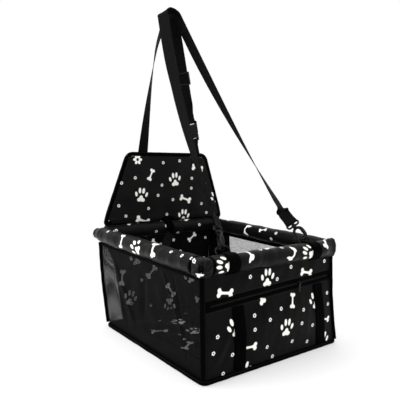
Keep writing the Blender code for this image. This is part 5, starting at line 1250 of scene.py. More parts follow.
def make_corner_gather():
    """The gathered corner. Rows of rings run from the floor of an oval mouth, up its wall, over a rolled lip
    and on over a soft rounded cube to the far side; folds swirl round the mouth and fade behind."""
    outward = unit((-1, -1, 0))
    across = unit(np.cross(outward, UPRIGHT))
    centre = np.array([RIM_LEFT, RIM_FRONT, RIM_HEIGHT])
    columns = 144
    turn = np.arange(columns) * 2 * math.pi / columns
    mouth = np.stack([0.0050 * np.cos(turn), 0.0074 * np.sin(turn)], -1)

    def ring_at(spots, level):
        """The ring whose (across, up) spots lie level outwards from the corner's centre."""
        level = np.broadcast_to(level, turn.shape)[:, None]
        return centre + spots[:, :1] * across + spots[:, 1:] * UPRIGHT + level * outward
    size, power = SLEEVE_RADIUS - 0.0002, 3.4
    around = np.cos(turn)[:, None] * across * 0.80 + np.sin(turn)[:, None] * UPRIGHT * 1.1
    far = np.linspace(0.42, math.pi, 80)[:-1]
    rows = []
    for angle in far:
        ray = normalised(math.cos(angle) * outward + math.sin(angle) * around)
        reach = size / (np.abs(ray) ** power).sum(1) ** (1 / power)
        swirl = turn + 0.55 * (angle - far[0])
        fade = math.exp(-((angle - far[0]) / 0.85) ** 2)
        fold = 0.0011 * fade * (np.sin(9 * swirl + 0.7 * np.sin(2 * swirl)) + 0.5 * np.sin(14 * swirl + 1.0))
        slack = 0.0005 * np.sin(5 * turn + 3 * angle) + 0.0004 * np.sin(3 * turn - 4 * angle + 1)
        rows.append(centre + ray * (reach - 0.0012 + fold + slack * (1 - fade))[:, None])
    off = rows[0] - centre
    height = off @ outward
    rim = np.stack([off @ across, off[:, 2]], -1)
    lip = []
    for share in np.linspace(0, 1, 8)[:-1]:
        spots = mouth * (1 + 0.10 * np.sin(7 * turn))[:, None] * (1 - share) + rim * share
        bulge = 0.0016 * math.sin(math.pi * share)
        rise = (height - height.min()) * share
        level = height.min() - 0.0004 + rise + bulge + 0.0005 * np.sin(9 * turn) * share
        lip.append(ring_at(spots, level))
    off = lip[0] - centre
    floor_and_wall = ((0.0095, 0.25), (0.0093, 0.62), (0.0085, 0.88), (0.0060, 0.97), (0.0030, 0.99),
                      (0.0010, 1.0))
    inside = []
    for depth, shrink in floor_and_wall:
        spots = np.stack([off @ across, off[:, 2]], -1) * shrink
        inside.append(ring_at(spots, (off @ outward).min() - depth))
    grid = np.array(inside + lip + rows)
    count = len(grid)
    faces, face_rows, face_columns = grid_faces(count, columns, wrap_columns=True)
    spots = grid.reshape(-1, 3) - centre
    triangles = end_fans(count, columns, len(spots))
    points = np.vstack([grid.reshape(-1, 3), grid[0].mean(0), grid[-1].mean(0)])
    view_x = spots @ -across * 1000
    view_y = spots[:, 2] * 1000
    facing = (spots @ outward) > 0
    field = print_field(view_x, view_y, [("bone", -7.0, -21.0, 75), ("ring", -15.0, 13.0, 20, 0.9)])
    field = np.where(facing & (view_y < -7.5) | (view_y > 9), field, FAR)
    marks = {"print_mm": np.concatenate([field, [FAR, FAR]]), "seam_mm": np.full(len(points), FAR)}
    uv = np.stack([face_columns * 0.0007, face_rows * 0.0005], -1)
    triangle_uv = np.zeros((2 * columns, 3, 2))
    item = make_mesh("corner_gather_cloth", points, faces, uv, marks, triangles, triangle_uv)
    outward_check(item)
    finish(item, PAINTED_LIT_RIM_CLOTH, "box", "front_left_corner_gather")


def make_rim_band(name, x, y, bump_angle, bump, width, split, slot):
    """Webbing round a sleeve: a circle that swells by bump over what it holds, and is split where the wall
    comes in."""
    radius = SLEEVE_RADIUS + CLEARANCE + WEBBING_THICKNESS / 2
    count = 121
    angles = np.arange(count) * 2 * math.pi / count
    if split:
        angles = np.linspace(math.radians(-70), math.radians(254), count)
    away = (angles - bump_angle + math.pi) % (2 * math.pi) - math.pi
    reach = radius + bump * bell(away, 0.26)
    if split:
        reach = reach + 0.0002 * np.sin(3 * angles)
    line = np.stack([x + 0 * angles, y + reach * np.cos(angles), RIM_HEIGHT + reach * np.sin(angles)], -1)
    sides = repeated((1, 0, 0), count)
    ups = normalised(np.cross(tangents_of(line, not split), sides))
    item = swept(name, line, sides, ups, flat_bar(width), closed=not split)
    finish(item, BAND_WEBBING, "box", slot)


# Ring, hook, gate and eye at each lower strap end

RING_WIRE, RING_HALF, RING_REACH = 0.0020, 0.0180, 0.0170
RING_SEAT_RADIUS = SLEEVE_RADIUS + CLEARANCE + RING_WIRE
RING_BUMP = 2 * RING_WIRE + 2 * CLEARANCE
HOOK_WIRE, HOOK_HALF, HOOK_SIDE, HOOK_TIP, HOOK_PLAY = 0.0032, 0.0095, 0.0110, 0.0035, 0.0012
GATE_WIRE, GATE_GAP = 0.0024, 0.0006
POST_RADIUS, POST_HEAD_RADIUS, POST_HEAD_HEIGHT = 0.0026, 0.0045, 0.0018
BOSS_RADIUS, BOSS_HEIGHT = 0.0058, 0.0060
EYE_WIRE, EYE_HALF, EYE_HEIGHT = 0.0023, 0.0166, 0.0064
# The part's longer hook: its eye bar's height and where its strap ends, so that the leash's hook stays put
PART_EYE_BAR_Z, PART_STRAP_END = 0.0596, 0.0494
HOOK_BOTTOM = -(RING_WIRE + HOOK_PLAY + HOOK_WIRE)
HOOK_ROUND_Z = HOOK_BOTTOM + HOOK_HALF
HOOK_SHOULDER_Z = HOOK_ROUND_Z + HOOK_SIDE
HOOK_CROWN_Z = HOOK_SHOULDER_Z + HOOK_HALF
GATE_FOOT_Z = HOOK_ROUND_Z + HOOK_TIP + GATE_GAP
GATE_HEAD_Z = HOOK_SHOULDER_Z - 2 * GATE_GAP
BOSS_Z = HOOK_CROWN_Z + HOOK_WIRE + CLEARANCE
HEAD_Z = BOSS_Z + BOSS_HEIGHT + CLEARANCE
EYE_BAR_Z = BOSS_Z + BOSS_HEIGHT + EYE_HEIGHT
LEAN = {"left": math.radians(31), "right": math.radians(40)}
TILT = {"left": math.radians(9), "right": -math.radians(17)}
SPIN = {"left": math.radians(15), "right": math.radians(-35)}
RING_SEAT_ANGLE = math.radians(45)
STRAP_TAIL, STRAP_PINCH = 0.018, 0.010
APEX = np.array([-0.0125, 0.2190, 0.8080])


def ring_seat(word):
    x = RIM_BANDS[0 if word == "left" else 1]
    forward, up = math.cos(RING_SEAT_ANGLE), math.sin(RING_SEAT_ANGLE)
    return np.array([x, RIM_FRONT + RING_SEAT_RADIUS * forward, RIM_HEIGHT + RING_SEAT_RADIUS * up])


def hook_axis(word):
    """The way a strap end's hook points: leaning back by LEAN and to the side by TILT."""
    lean, tilt = LEAN[word], TILT[word]
    return np.array([math.sin(tilt), math.cos(tilt) * math.sin(lean), math.cos(tilt) * math.cos(lean)])


def ring_top(word):
    return ring_seat(word) + RING_REACH * np.array([0, math.sin(LEAN[word]), math.cos(LEAN[word])])


def eye_bar_centre(word):
    return ring_top(word) + hook_axis(word) * EYE_BAR_Z


def loop_upward():
    """The hook strap's general direction, from between its two ends up to its top."""
    slope = APEX - (eye_bar_centre("left") + eye_bar_centre("right")) / 2
    slope[0] = 0
    return unit(slope)


def loop_normal():
    return np.cross((1, 0, 0), loop_upward())


# Each strap end's turn about its hook's axis
END_TURNS = {"left": math.radians(-62), "right": math.radians(-22)}


def strap_side(word):
    """The webbing's width direction where it is folded round the eye's bar."""
    up = hook_axis(word)
    side = loop_normal() if word == "left" else np.array([1.0, 0, 0])
    side = unit(side - up * np.dot(side, up))
    return side * math.cos(END_TURNS[word]) + np.cross(up, side) * math.sin(END_TURNS[word])


def placed(points, origin, columns):
    """Points in a piece's own frame moved to the seat: origin plus each axis times its coordinate."""
    return np.asarray(origin) + np.asarray(points, float) @ np.asarray(columns)


def lathe(name, profile, origin, columns, steps=28):
    """A turned piece: (radius, height) points of a profile swung round the frame's third axis."""
    profile = np.asarray(profile, float)
    centres = placed(np.stack([0 * profile[:, 0], 0 * profile[:, 0], profile[:, 1]], -1), origin, columns)
    sides, ups = repeated(columns[0], len(profile)), repeated(columns[1], len(profile))
    section = oval(1, 1, steps)[None] * np.maximum(profile[:, 0], 1e-5)[:, None, None]
    return swept(name, centres, sides, ups, section)


def hook_path():
    """The hook's bar in its own frame: over the crown, down the back, round the foot and up to the tip."""
    arc = np.linspace(0, math.pi, 24)
    crown = np.stack([-HOOK_HALF * np.cos(arc), 0 * arc, HOOK_SHOULDER_Z + HOOK_HALF * np.sin(arc)], -1)
    foot = np.stack([HOOK_HALF * np.cos(arc), 0 * arc, HOOK_ROUND_Z - HOOK_HALF * np.sin(arc)], -1)
    tip = np.array([[-HOOK_HALF, 0, HOOK_ROUND_Z + HOOK_TIP]])
    return np.vstack([crown, foot, tip])


def make_hook(word, slot, gate_slot, origin, columns, hook_body, gate_body):
    """The snap hook: a bent bar that thickens at its back, a collar, and the swivel post with its head. Then
    the gate with its thumb stud."""
    line = evenly(placed(hook_path(), origin, columns), 0.0012)
    side, up = moving_sides(line, first=columns[1])
    run = np.linspace(0, 1, len(line))
    taper = 1 - 0.12 * smooth_step(run, 0.92, 1.0) - 0.10 * (1 - smooth_step(run, 0.0, 0.05))
    taper = taper + 0.38 * bell(run - 0.47, 0.14)
    bar = swept(word + "_hook_bar", line, side, up, oval(HOOK_WIRE, HOOK_WIRE * 0.96, 20, 2.3), scale=taper)
    finish(bar, METAL, hook_body, slot)
    collar_top, head_top = HOOK_CROWN_Z + HOOK_WIRE, HEAD_Z + POST_HEAD_HEIGHT
    profile = [
        (0.0001, HOOK_CROWN_Z - 0.001), (0.0044, HOOK_CROWN_Z - 0.001), (0.0046, collar_top - 0.0004),
        (0.0040, collar_top), (POST_RADIUS, collar_top + 0.0001), (POST_RADIUS, HEAD_Z),
        (POST_HEAD_RADIUS - 0.0004, HEAD_Z), (POST_HEAD_RADIUS, HEAD_Z + 0.0004),
        (POST_HEAD_RADIUS - 0.0003, head_top - 0.0005), (POST_HEAD_RADIUS - 0.0016, head_top),
        (0.0001, head_top)]
    finish(lathe(word + "_hook_post", profile, origin, columns), METAL, hook_body, slot)
    count = 30
    heights = np.linspace(GATE_HEAD_Z, GATE_FOOT_Z, count)
    gate_line = placed(np.stack([np.full(count, -HOOK_HALF), np.zeros(count), heights], -1), origin, columns)
    gate_side, gate_up = moving_sides(gate_line, first=columns[1])
    ends = np.linspace(0, 1, count)
    taper = 1 - 0.18 * bell(ends, 0.06) - 0.18 * bell(1 - ends, 0.06)
    gate = swept(word + "_gate_bar", gate_line, gate_side, gate_up, oval(GATE_WIRE, GATE_WIRE, 18),
                 scale=taper)
    finish(gate, METAL, gate_body, gate_slot)
    stud_frame = [np.asarray(columns[1]), np.asarray(columns[2]), -np.asarray(columns[0])]
    stud_height = (GATE_HEAD_Z + GATE_FOOT_Z) / 2 - GATE_WIRE
    stud_origin = placed([[-HOOK_HALF, 0, stud_height]], origin, columns)[0]
    profile = [(0.0001, 0), (0.0016, 0.0005), (0.0016, 0.0034), (0.0022, 0.0040), (0.0022, 0.0055),
               (0.0016, 0.0060), (0.0001, 0.0060)]
    stud = lathe(word + "_gate_stud", profile, stud_origin, stud_frame, 20)
    finish(stud, METAL, gate_body, gate_slot)


def make_eye(word, slot, origin, columns, body):
    """The webbing eye: a smooth closed loop with rounded corners over a collar bored for the post."""
    low = BOSS_Z + BOSS_HEIGHT / 2
    radius = 0.005
    corners = [(-EYE_HALF, low), (EYE_HALF, low), (EYE_HALF, EYE_BAR_Z), (-EYE_HALF, EYE_BAR_Z)]
    outline = []
    for index, (x, z) in enumerate(corners):
        centre = (x - math.copysign(radius, x), z + (radius if index < 2 else -radius))
        start = (math.pi, -math.pi / 2, 0, math.pi / 2)[index]
        for step in range(9):
            angle = start + math.pi / 2 * step / 8
            outline.append((centre[0] + radius * math.cos(angle), 0, centre[1] + radius * math.sin(angle)))
    line = evenly(placed(outline, origin, columns), 0.0012, True)
    loop = rod(word + "_eye_loop", line, EYE_WIRE, True, 16, first=columns[1])
    finish(loop, PLASTIC, body, slot)
    bore, top, corner = POST_RADIUS + CLEARANCE, BOSS_Z + BOSS_HEIGHT, 0.0006
    profile = [(bore, BOSS_Z), (BOSS_RADIUS - corner, BOSS_Z), (BOSS_RADIUS, BOSS_Z + corner),
               (BOSS_RADIUS, top - corner), (BOSS_RADIUS - corner, top), (bore, top)]
    count = 28
    turn = np.arange(count) * 2 * math.pi / count
    centres = repeated(origin, count)
    sides = placed(np.stack([np.cos(turn), np.sin(turn), 0 * turn], -1), (0, 0, 0), columns)
    collar = swept(word + "_eye_collar", centres, sides, repeated(columns[2], count), profile, closed=True)
    finish(collar, PLASTIC, body, slot)


def make_ring(word):
    """The D ring: its straight bar in the rim band, its arch through the hook."""
    lean = LEAN[word]
    columns = np.array([(1, 0, 0), (0, math.cos(lean), -math.sin(lean)), (0, math.sin(lean), math.cos(lean))])
    straight = RING_REACH - RING_HALF * 0.5
    arc = np.linspace(0, math.pi, 40)
    corner = 0.0028
    cut = corner * 0.3
    points = [(-RING_HALF + corner, 0, 0), (RING_HALF - corner, 0, 0), (RING_HALF - cut, 0, cut),
              (RING_HALF, 0, corner)]
    points += list(np.stack([RING_HALF * np.cos(arc), 0 * arc, straight + RING_HALF * 0.5 * np.sin(arc)], -1))
    points += [(-RING_HALF, 0, corner), (-RING_HALF + cut, 0, cut)]
    line = evenly(placed(points, ring_seat(word), columns), 0.0010, True)
    ring = rod("ring_%s_wire" % word, line, RING_WIRE * 0.84, True, 16, first=columns[1])
    finish(ring, METAL, "hook_strap_assembly", "d_ring_" + word)


def make_strap_ends():
    """The ring, the eye and the hook at each end, the hook turned by SPIN about its post."""
    for word in ("left", "right"):
        make_ring(word)
        up, side = hook_axis(word), strap_side(word)
        make_eye(word, "swivel_eye_" + word, ring_top(word), [side, np.cross(up, side), up],
                 "hook_strap_assembly")
        plain_side = unit(np.cross((1, 0, 0), up))
        level = np.cross(plain_side, up)
        spin_x = math.cos(SPIN[word]) * plain_side + math.sin(SPIN[word]) * level
        columns = [spin_x, np.cross(up, spin_x), up]
        make_hook(word, "snap_hook_" + word, "hook_gate_" + word, ring_top(word), columns, word + "_hook",
                  word + "_gate")


# Strap loops

def fold_round_bar(centre, up, side, bar, tail):
    """A webbing end folded round a bar: the tail, the half turn, and the start of the leg."""
    face = np.cross(up, side)
    radius = bar + CLEARANCE + WEBBING_THICKNESS / 2
    beside = WEBBING_THICKNESS / 2 + CLEARANCE
    points = [centre + face * beside + up * (STRAP_PINCH + tail), centre + face * beside + up * STRAP_PINCH,
              centre + face * (beside + radius) / 2 + up * STRAP_PINCH / 2]
    for step in range(17):
        angle = math.pi * step / 16
        points.append(centre + radius * (face * math.cos(angle) - up * math.sin(angle)))
    points.append(centre - face * (beside + radius) / 2 + up * STRAP_PINCH / 2)
    points.append(centre - face * beside + up * STRAP_PINCH)
    points.append(centre - face * beside + up * (STRAP_PINCH + tail * 1.1))
    return points


def leg_points(start, end, sag_direction, sag, count):
    """A strap's run from start to end that sags by sag at its middle."""
    share = np.linspace(0, 1, count)[:, None]
    return start + (end - start) * share + sag_direction * sag * 4 * share * (1 - share)


def arch_points(centre, upward, half, rise, count):
    """The half oval at a strap's top, from its left foot to its right one."""
    angle = np.linspace(math.pi, 0, count)[:, None]
    return centre + np.array([half, 0, 0]) * np.cos(angle) + upward * rise * np.sin(angle)


def turning_sides(points, first, angles):
    """The webbing's width directions along a line: first, made square to the line, turned by each angle."""
    tangents = tangents_of(np.asarray(points))
    flat = normalised(first - tangents * (tangents @ first)[:, None])
    other = np.cross(-tangents, flat)
    return flat * np.cos(angles)[:, None] + other * np.sin(angles)[:, None]


def strap(name, points, sides, width, body, slot):
    """Webbing along a line: the line and its width directions are laid out in short even steps and given the
    flat woven section."""
    points, sides = np.asarray(points, float), np.asarray(sides, float)
    run = run_along(points)
    keep = np.concatenate([[True], np.diff(run) > 1e-6])
    points, sides, run = points[keep], sides[keep], run[keep]
    spots = np.unique(np.concatenate([run, np.arange(0, run[-1], 0.004)]))
    spots = spots[np.concatenate([[True], np.diff(spots) > 0.0004])]
    line = np.stack([np.interp(spots, run, points[:, axis]) for axis in range(3)], -1)
    side = normalised(np.stack([np.interp(spots, run, sides[:, axis]) for axis in range(3)], -1))
    tangent = tangents_of(line)
    side = normalised(side - tangent * np.sum(side * tangent, -1, keepdims=True))
    item = swept(name, line, side, np.cross(tangent, side), flat_bar(width))
    finish(item, WEBBING, body, slot)


LEFT_LEG_SAG, RIGHT_LEG_SAG = 0.021, 0.010
TOP_HALF, TOP_RISE = 0.0245, 0.0210


def make_hook_strap():
    """The long strap: one piece of webbing from the left eye over the top to the right eye."""
    normal = loop_normal()
    beside = np.array([TOP_HALF, 0, 0])
    left_side, right_side = strap_side("left"), strap_side("right")
    left_fold, right_fold = (fold_round_bar(eye_bar_centre(word), hook_axis(word), side, EYE_WIRE, STRAP_TAIL)
                             for word, side in (("left", left_side), ("right", right_side)))
    left_leg = leg_points(left_fold[-1], APEX - beside, -normal, LEFT_LEG_SAG, 80)[1:]
    right_leg = leg_points(APEX + beside, right_fold[-1], -normal, RIGHT_LEG_SAG, 160)[:-1]
    arch = arch_points(APEX, loop_upward(), TOP_HALF, TOP_RISE, 41)[1:-1]
    points = np.concatenate([left_fold, left_leg, arch, right_leg, right_fold[::-1]])
    share = np.linspace(0, 1, len(left_leg))
    turn = -152 - 43 * smooth_step(share, 0, 0.62) - 22 * smooth_step(share, 0.6, 0.78)
    left_sides = turning_sides(left_leg, normal, np.radians(turn))
    turn = -180 - 37 * (1 - smooth_step(np.linspace(0, 1, len(arch)), 0, 0.6))
    arch_sides = turning_sides(arch, normal, np.radians(turn))
    share = np.linspace(0, 1, len(right_leg))
    turn = -72 * np.clip((share - 0.15) / 0.80, 0, 1) ** 1.5 - 68 * smooth_step(share, 0.984, 1)
    right_leg_sides = turning_sides(right_leg, -normal, np.radians(turn))
    left_side = left_side * np.sign(left_side @ left_sides[0])
    right_side = right_side * np.sign(right_side @ right_leg_sides[-1])
    sides = np.concatenate([repeated(left_side, len(left_fold)), left_sides, arch_sides, right_leg_sides,
                            repeated(right_side, len(right_fold))])
    strap("hook_strap_webbing", points, sides, WEBBING_WIDTH, "hook_strap_assembly", "hook_strap")


FLAP_STRAP_Y = RIM_REAR + FLAP_BINDING_THICKNESS / 2 + 0.0007 + WEBBING_THICKNESS / 2
FLAP_STRAP_Z = FLAP_TOP_HEIGHT - 0.005
FLAP_STRAP_FEET = {"left": np.array([-0.079, FLAP_STRAP_Y, FLAP_STRAP_Z]),
                   "right": np.array([0.099, FLAP_STRAP_Y, FLAP_STRAP_Z])}
FLAP_STRAP_APEX = APEX + np.array([-0.0030, 0, -0.0140])
LEFT_LEG_BOW = 0.0125
FLAP_STRAP_HALF, FLAP_STRAP_RISE = 0.0145, 0.0170
APEX_TURN = math.radians(24)
FLAP_STRAP_HEADS = {"left": FLAP_STRAP_APEX - np.array([FLAP_STRAP_HALF, 0, 0]),
                    "right": FLAP_STRAP_APEX + np.array([FLAP_STRAP_HALF, 0, 0])}
BUCKLE_HEIGHT, FEMALE_LENGTH, MALE_LENGTH, SLOT_BAR = 0.500, 0.0370, 0.0200, 0.0040
GLIDE_HEIGHT, GLIDE_LENGTH, GLIDE_TRAVEL, GLIDE_TURN = 0.652, 0.035, 0.030, math.radians(-50)
RIGHT_LEG_UP = unit(FLAP_STRAP_HEADS["right"] - FLAP_STRAP_FEET["right"])


def right_leg_point(z):
    """A point on the flap strap's straight right leg at a height."""
    foot, head = FLAP_STRAP_FEET["right"], FLAP_STRAP_HEADS["right"]
    return foot + (head - foot) * (z - foot[2]) / (head[2] - foot[2])


def right_leg_side(angle):
    """The right leg's width direction, turned by angle from the seat's own right."""
    flat = unit(np.array([1.0, 0, 0]) - RIGHT_LEG_UP * RIGHT_LEG_UP[0])
    return flat * math.cos(angle) + np.cross(RIGHT_LEG_UP, flat) * math.sin(angle)


def make_flap_strap():
    """The flap's strap: the left leg with a quarter turn, the top, the right leg down to the buckle, and the
    short stub below it."""
    foot, head = FLAP_STRAP_FEET["left"], FLAP_STRAP_HEADS["left"]
    left_leg = leg_points(foot, head, np.zeros(3), 0.0, 90)
    share = np.linspace(0, 1, len(left_leg))
    left_leg[:, 0] -= LEFT_LEG_BOW * np.sin(math.pi / 2 * np.minimum(share / 0.75, (1 - share) / 0.25))
    turn = math.pi / 2 * np.linspace(0, 1, len(left_leg))
    left_sides = np.stack([np.cos(turn), np.sin(turn), 0 * turn], -1)
    arch = arch_points(FLAP_STRAP_APEX, UPRIGHT, FLAP_STRAP_HALF, FLAP_STRAP_RISE, 41)[1:-1]
    arch_turn = APEX_TURN * smooth_step(np.linspace(0, 1, len(arch)), 0.4, 1)
    arch_sides = np.stack([-np.sin(arch_turn), np.cos(arch_turn), 0 * arch_turn], -1)
    reach = SLOT_BAR / math.sqrt(2)
    bar = right_leg_point(BUCKLE_HEIGHT) + RIGHT_LEG_UP * (FEMALE_LENGTH - SLOT_BAR / 2)
    fold = fold_round_bar(bar, RIGHT_LEG_UP, right_leg_side(0), reach, STRAP_TAIL / 2)
    top, bottom = FLAP_STRAP_HEADS["right"][2], fold[-1][2]
    flat_half = GLIDE_LENGTH / 2 + GLIDE_TRAVEL + 2 * CLEARANCE
    flat_top, flat_bottom = GLIDE_HEIGHT + flat_half, GLIDE_HEIGHT - flat_half
    heights = np.concatenate([np.linspace(top, flat_top, 30), np.linspace(flat_bottom, bottom, 30)[:-1]])
    right_leg = np.array([right_leg_point(z) for z in heights])
    top_turn = APEX_TURN - math.pi / 2
    upper_turn = top_turn + (GLIDE_TURN - top_turn) * smooth_step(-heights, -top, 0.05 - top)
    lower_turn = GLIDE_TURN * (1 - smooth_step(-heights, -flat_bottom, -bottom))
    turn = np.where(heights > GLIDE_HEIGHT, upper_turn, lower_turn)
    right_sides = np.array([-right_leg_side(angle) for angle in turn])
    points = np.concatenate([left_leg, arch, right_leg, np.array(fold[::-1])])
    side = right_leg_side(0)
    sides = np.concatenate([left_sides, arch_sides, right_sides, repeated(-side, len(fold))])
    strap("flap_strap_webbing", points, sides, WEBBING_WIDTH, "flap_strap_assembly", "flap_strap")
    bar = right_leg_point(BUCKLE_HEIGHT) + RIGHT_LEG_UP * (SLOT_BAR / 2 - MALE_LENGTH)
    fold = fold_round_bar(bar, -RIGHT_LEG_UP, side, reach, 0.002)
    level = side - RIGHT_LEG_UP * (side[2] / RIGHT_LEG_UP[2])
    points, sides = fold + [FLAP_STRAP_FEET["right"]], [side] * len(fold) + [level]
    strap("flap_strap_stub_webbing", points, sides, WEBBING_WIDTH, "buckle_plug", "flap_strap_stub")


# Flap

def corner_arc(x, z, inwards, radius, start, end):
    """A round corner of the flap's outline between two angles, for the sharp corner at (x, z)."""
    centre_x, centre_z = x - radius * math.tan((end - start) / 2), z + inwards * radius
    angles = np.linspace(start, end, 15)
    return [(centre_x + radius * math.cos(angle), centre_z + radius * math.sin(angle)) for angle in angles]


def flap_outline(inset):
    """The flap's outline in its own plane, inset from the middle of its binding, with round corners."""
    low = inset
    high = FLAP_TOP_HEIGHT - FLAP_AXIS_Z - FLAP_RISE - FLAP_BINDING_WIDTH / 2 - inset
    slope = (FLAP_BOTTOM_WIDTH - FLAP_TOP_WIDTH) / 2 / (FLAP_TOP_HEIGHT - FLAP_AXIS_Z)
    lean = math.hypot(1, slope)
    low_half = FLAP_BOTTOM_WIDTH / 2 - FLAP_BINDING_WIDTH / 2 * lean - inset * lean - slope * low
    high_half = low_half - slope * (high - low)
    side_normal = math.atan(slope)
    top = corner_arc(high_half, high, -1, FLAP_CORNER_RADIUS - inset, side_normal, math.pi / 2)
    foot = corner_arc(low_half, low, 1, max(FLAP_FOOT_RADIUS - inset, 0.0004), -math.pi / 2, side_normal)
    right = foot + top
    return right + [(-x, z) for x, z in right[::-1]]


FLAP_BOARD_HALF = 0.0010
FLAP_CLOTH_THICKNESS = 0.0016
FLAP_CREASES = [
    ((-0.085, 0.0), (-0.060, 0.14), 0.014, 0.0011), ((-0.022, 0.005), (-0.012, 0.13), 0.016, -0.0009),
    ((0.10, 0.0), (0.075, 0.15), 0.014, 0.0008)]


def make_flap():
    """The flap: a bound edge, a padded front that swells from the binding with soft dents, and a flat
    back. The front's foot reaches down over the binding, except at the leash's loop."""
    base = np.array([0, RIM_REAR, FLAP_AXIS_Z + FLAP_RISE])
    outline = base + np.array([(x, 0, z) for x, z in flap_outline(0.0)])
    line = evenly(outline, 0.0022, True)
    beside_loop = bell(line[:, 0] - LEASH_LOOP_X, 0.020, 4)
    lowest = 1 - smooth_step(line[:, 2] - base[2], 0.002, 0.030)
    droop = np.where(line[:, 0] < 0, 0.0060, 0.0085) * smooth_step(np.abs(line[:, 0]), 0.184, 0.192)
    line[:, 2] -= lowest * (0.0016 * (1 - beside_loop) + droop)
    ups = repeated((0, -1, 0), len(line))
    sides = normalised(np.cross(tangents_of(line, True), ups))
    scale = 1 + ripple(line[:, 0], line[:, 2], 71, [(0.012, 0.03, 0.008)])
    section = oval(FLAP_BINDING_WIDTH / 2, FLAP_BINDING_THICKNESS / 2, 24, 2.8)
    binding = swept("flap_tape", line, sides, ups, section, True, scale=scale)
    finish(binding, STITCHED_TAPE, "flap", "flap_binding")
    inset = FLAP_BINDING_WIDTH / 2 + CLEARANCE
    edge = np.array(flap_outline(inset))
    low, high = edge[:, 1].min(), edge[:, 1].max()
    right = edge[edge[:, 0] > 0]
    right = right[np.argsort(right[:, 1])]

    def half_at(z):
        return np.interp(z, right[:, 1], right[:, 0])

    def flap_face(middle, crown, waves, cover=0.0):
        """A face of the flap: middle is how far it stands behind the flap's plane, crown how far it swells,
        waves the share of the dents, and cover how far its foot stands out over the binding."""
        def place(u, v):
            beside_loop = bell(half_at(low) * (2 * u - 1) - LEASH_LOOP_X, 0.022, 4)
            inside = (1 - smooth_step(np.abs(2 * u - 1), 0.93, 0.99)) * (1 - beside_loop)
            foot = low - (low + 0.0034) * inside * np.sign(cover)
            z = foot + (high - foot) * v
            x = half_at(z) * (2 * u - 1)
            held = (1 - np.abs(2 * u - 1) ** 4) * (1 - np.abs(2 * v - 1) ** 6)
            dent = sum(crease(x, z, *row) for row in FLAP_CREASES)
            dent = dent + ripple(x, z, 73, [(0.06, 0.15, 0.00030), (0.02, 0.05, 0.00006)])
            out = crown * held + waves * dent * held + cover * inside * (1 - smooth_step(z, 0.004, 0.016))
            return base + np.stack([x, middle - out, z], -1)
        return place
    width = 0.380
    face_y = FLAP_BOARD_HALF + CLEARANCE + FLAP_CLOTH_THICKNESS / 2
    marks = printed_marks(flat_xz, FLAP_MOTIFS)
    face = flap_face(-face_y, 0.0027, 1.0, 0.0014)
    front = plate("flap_front_cloth", face, width, high - low, 0.0015, FLAP_CLOTH_THICKNESS, marks)
    finish(front, PAINTED_LIT_FLAP_CLOTH, "flap", "flap_front_panel")
    back_motifs = scattered(400, 200, 15, -200, 250)
    marks = printed_marks(flat_xz, back_motifs, back_motifs)
    face = flap_face(face_y, 0.0, 0.0)
    back = plate("flap_back_cloth", face, width, high - low, 0.0018, FLAP_CLOTH_THICKNESS, marks)
    finish(back, CLOTH, "flap", "flap_back_panel")


# Leash

LEASH_ROUTE = [
    (-0.004, 0.2105, 0.2230), (-0.022, 0.2020, 0.2060), (-0.034, 0.1860, 0.1800),
    (-0.031, 0.1620, 0.1450), (-0.022, 0.1400, 0.1050), (-0.010, 0.1200, 0.0620),
    (-0.001, 0.1040, 0.0290), (0.012, 0.0860, 0.0190), (0.030, 0.0700, 0.0190), (0.048, 0.0580, 0.0210)]


def make_leash():
    """The safety leash: webbing from the rear loop down into the box and along the mat, with its own hook."""
    route = smooth_route(LEASH_ROUTE, 120)
    tangents = tangents_of(route)
    flat = normalised(np.cross(tangents, UPRIGHT))
    start_side = np.array([1.0, 0, 0])
    share = smooth_step(np.linspace(0, 1, len(route)), 0.0, 0.35)[:, None]
    lying = flat * np.where(flat @ start_side < 0, -1, 1)[:, None]
    sides = normalised(start_side * (1 - share) + lying * share)
    sides = normalised(sides - tangents * np.sum(sides * tangents, -1, keepdims=True))
    coarse = smooth_route(LEASH_ROUTE, 30)
    along = unit((coarse[-1] - coarse[-2]) * np.array([1, 1, 0]))
    up = -along
    origin = coarse[-1] + along * (PART_STRAP_END + PART_EYE_BAR_Z)
    bar = origin + up * EYE_BAR_Z
    fold = fold_round_bar(bar, up, -sides[-1], EYE_WIRE, STRAP_TAIL)
    points = np.concatenate([route[:-1], np.array(fold[::-1])])
    all_sides = np.concatenate([sides[:-1], repeated(sides[-1], len(fold))])
    strap("leash_webbing", points, all_sides, LEASH_WIDTH, "box", "leash_strap")
    side = unit(sides[-1] - up * np.dot(sides[-1], up))
    columns = [side, np.cross(up, side), up]
    make_eye("leash", "leash_eye", origin, columns, "box")
    make_hook("leash", "leash_hook", "leash_gate", origin, columns, "box", "leash_hook_gate")


# Everything

make_floor()
make_base_binding()
make_corner_tapes()
make_side_nets()
make_rear_wall()
make_front()
make_rim()
make_sleeve_ridge()
make_corner_gather()
for middle_x, band_word in zip(RIM_BANDS, ("left", "right")):
    make_rim_band("rim_band_strap_" + band_word, middle_x, RIM_FRONT, RING_SEAT_ANGLE, RING_BUMP,
                  WEBBING_WIDTH, True, "rim_band_" + band_word)
make_rim_band("leash_loop_webbing", LEASH_LOOP_X, RIM_REAR, RING_SEAT_ANGLE, 0.0, LEASH_WIDTH, False,
              "leash_loop")
make_strap_ends()
make_hook_strap()
make_flap_strap()
make_flap()
make_leash()

CAD_LOOKS = {"buckle_female": PLASTIC, "buckle_male": PLASTIC, "strap_glide": PLASTIC, "zip_slider": METAL,
             "zip_pull": METAL, "base_board": LINING}
for cad_name, material in CAD_LOOKS.items():
    mesh = NODES[cad_name].data
    for number in range(len(mesh.materials)):
        mesh.materials[number] = material


# Camera: its place, its azimuth, elevation and roll in degrees, and its lens in millimetres

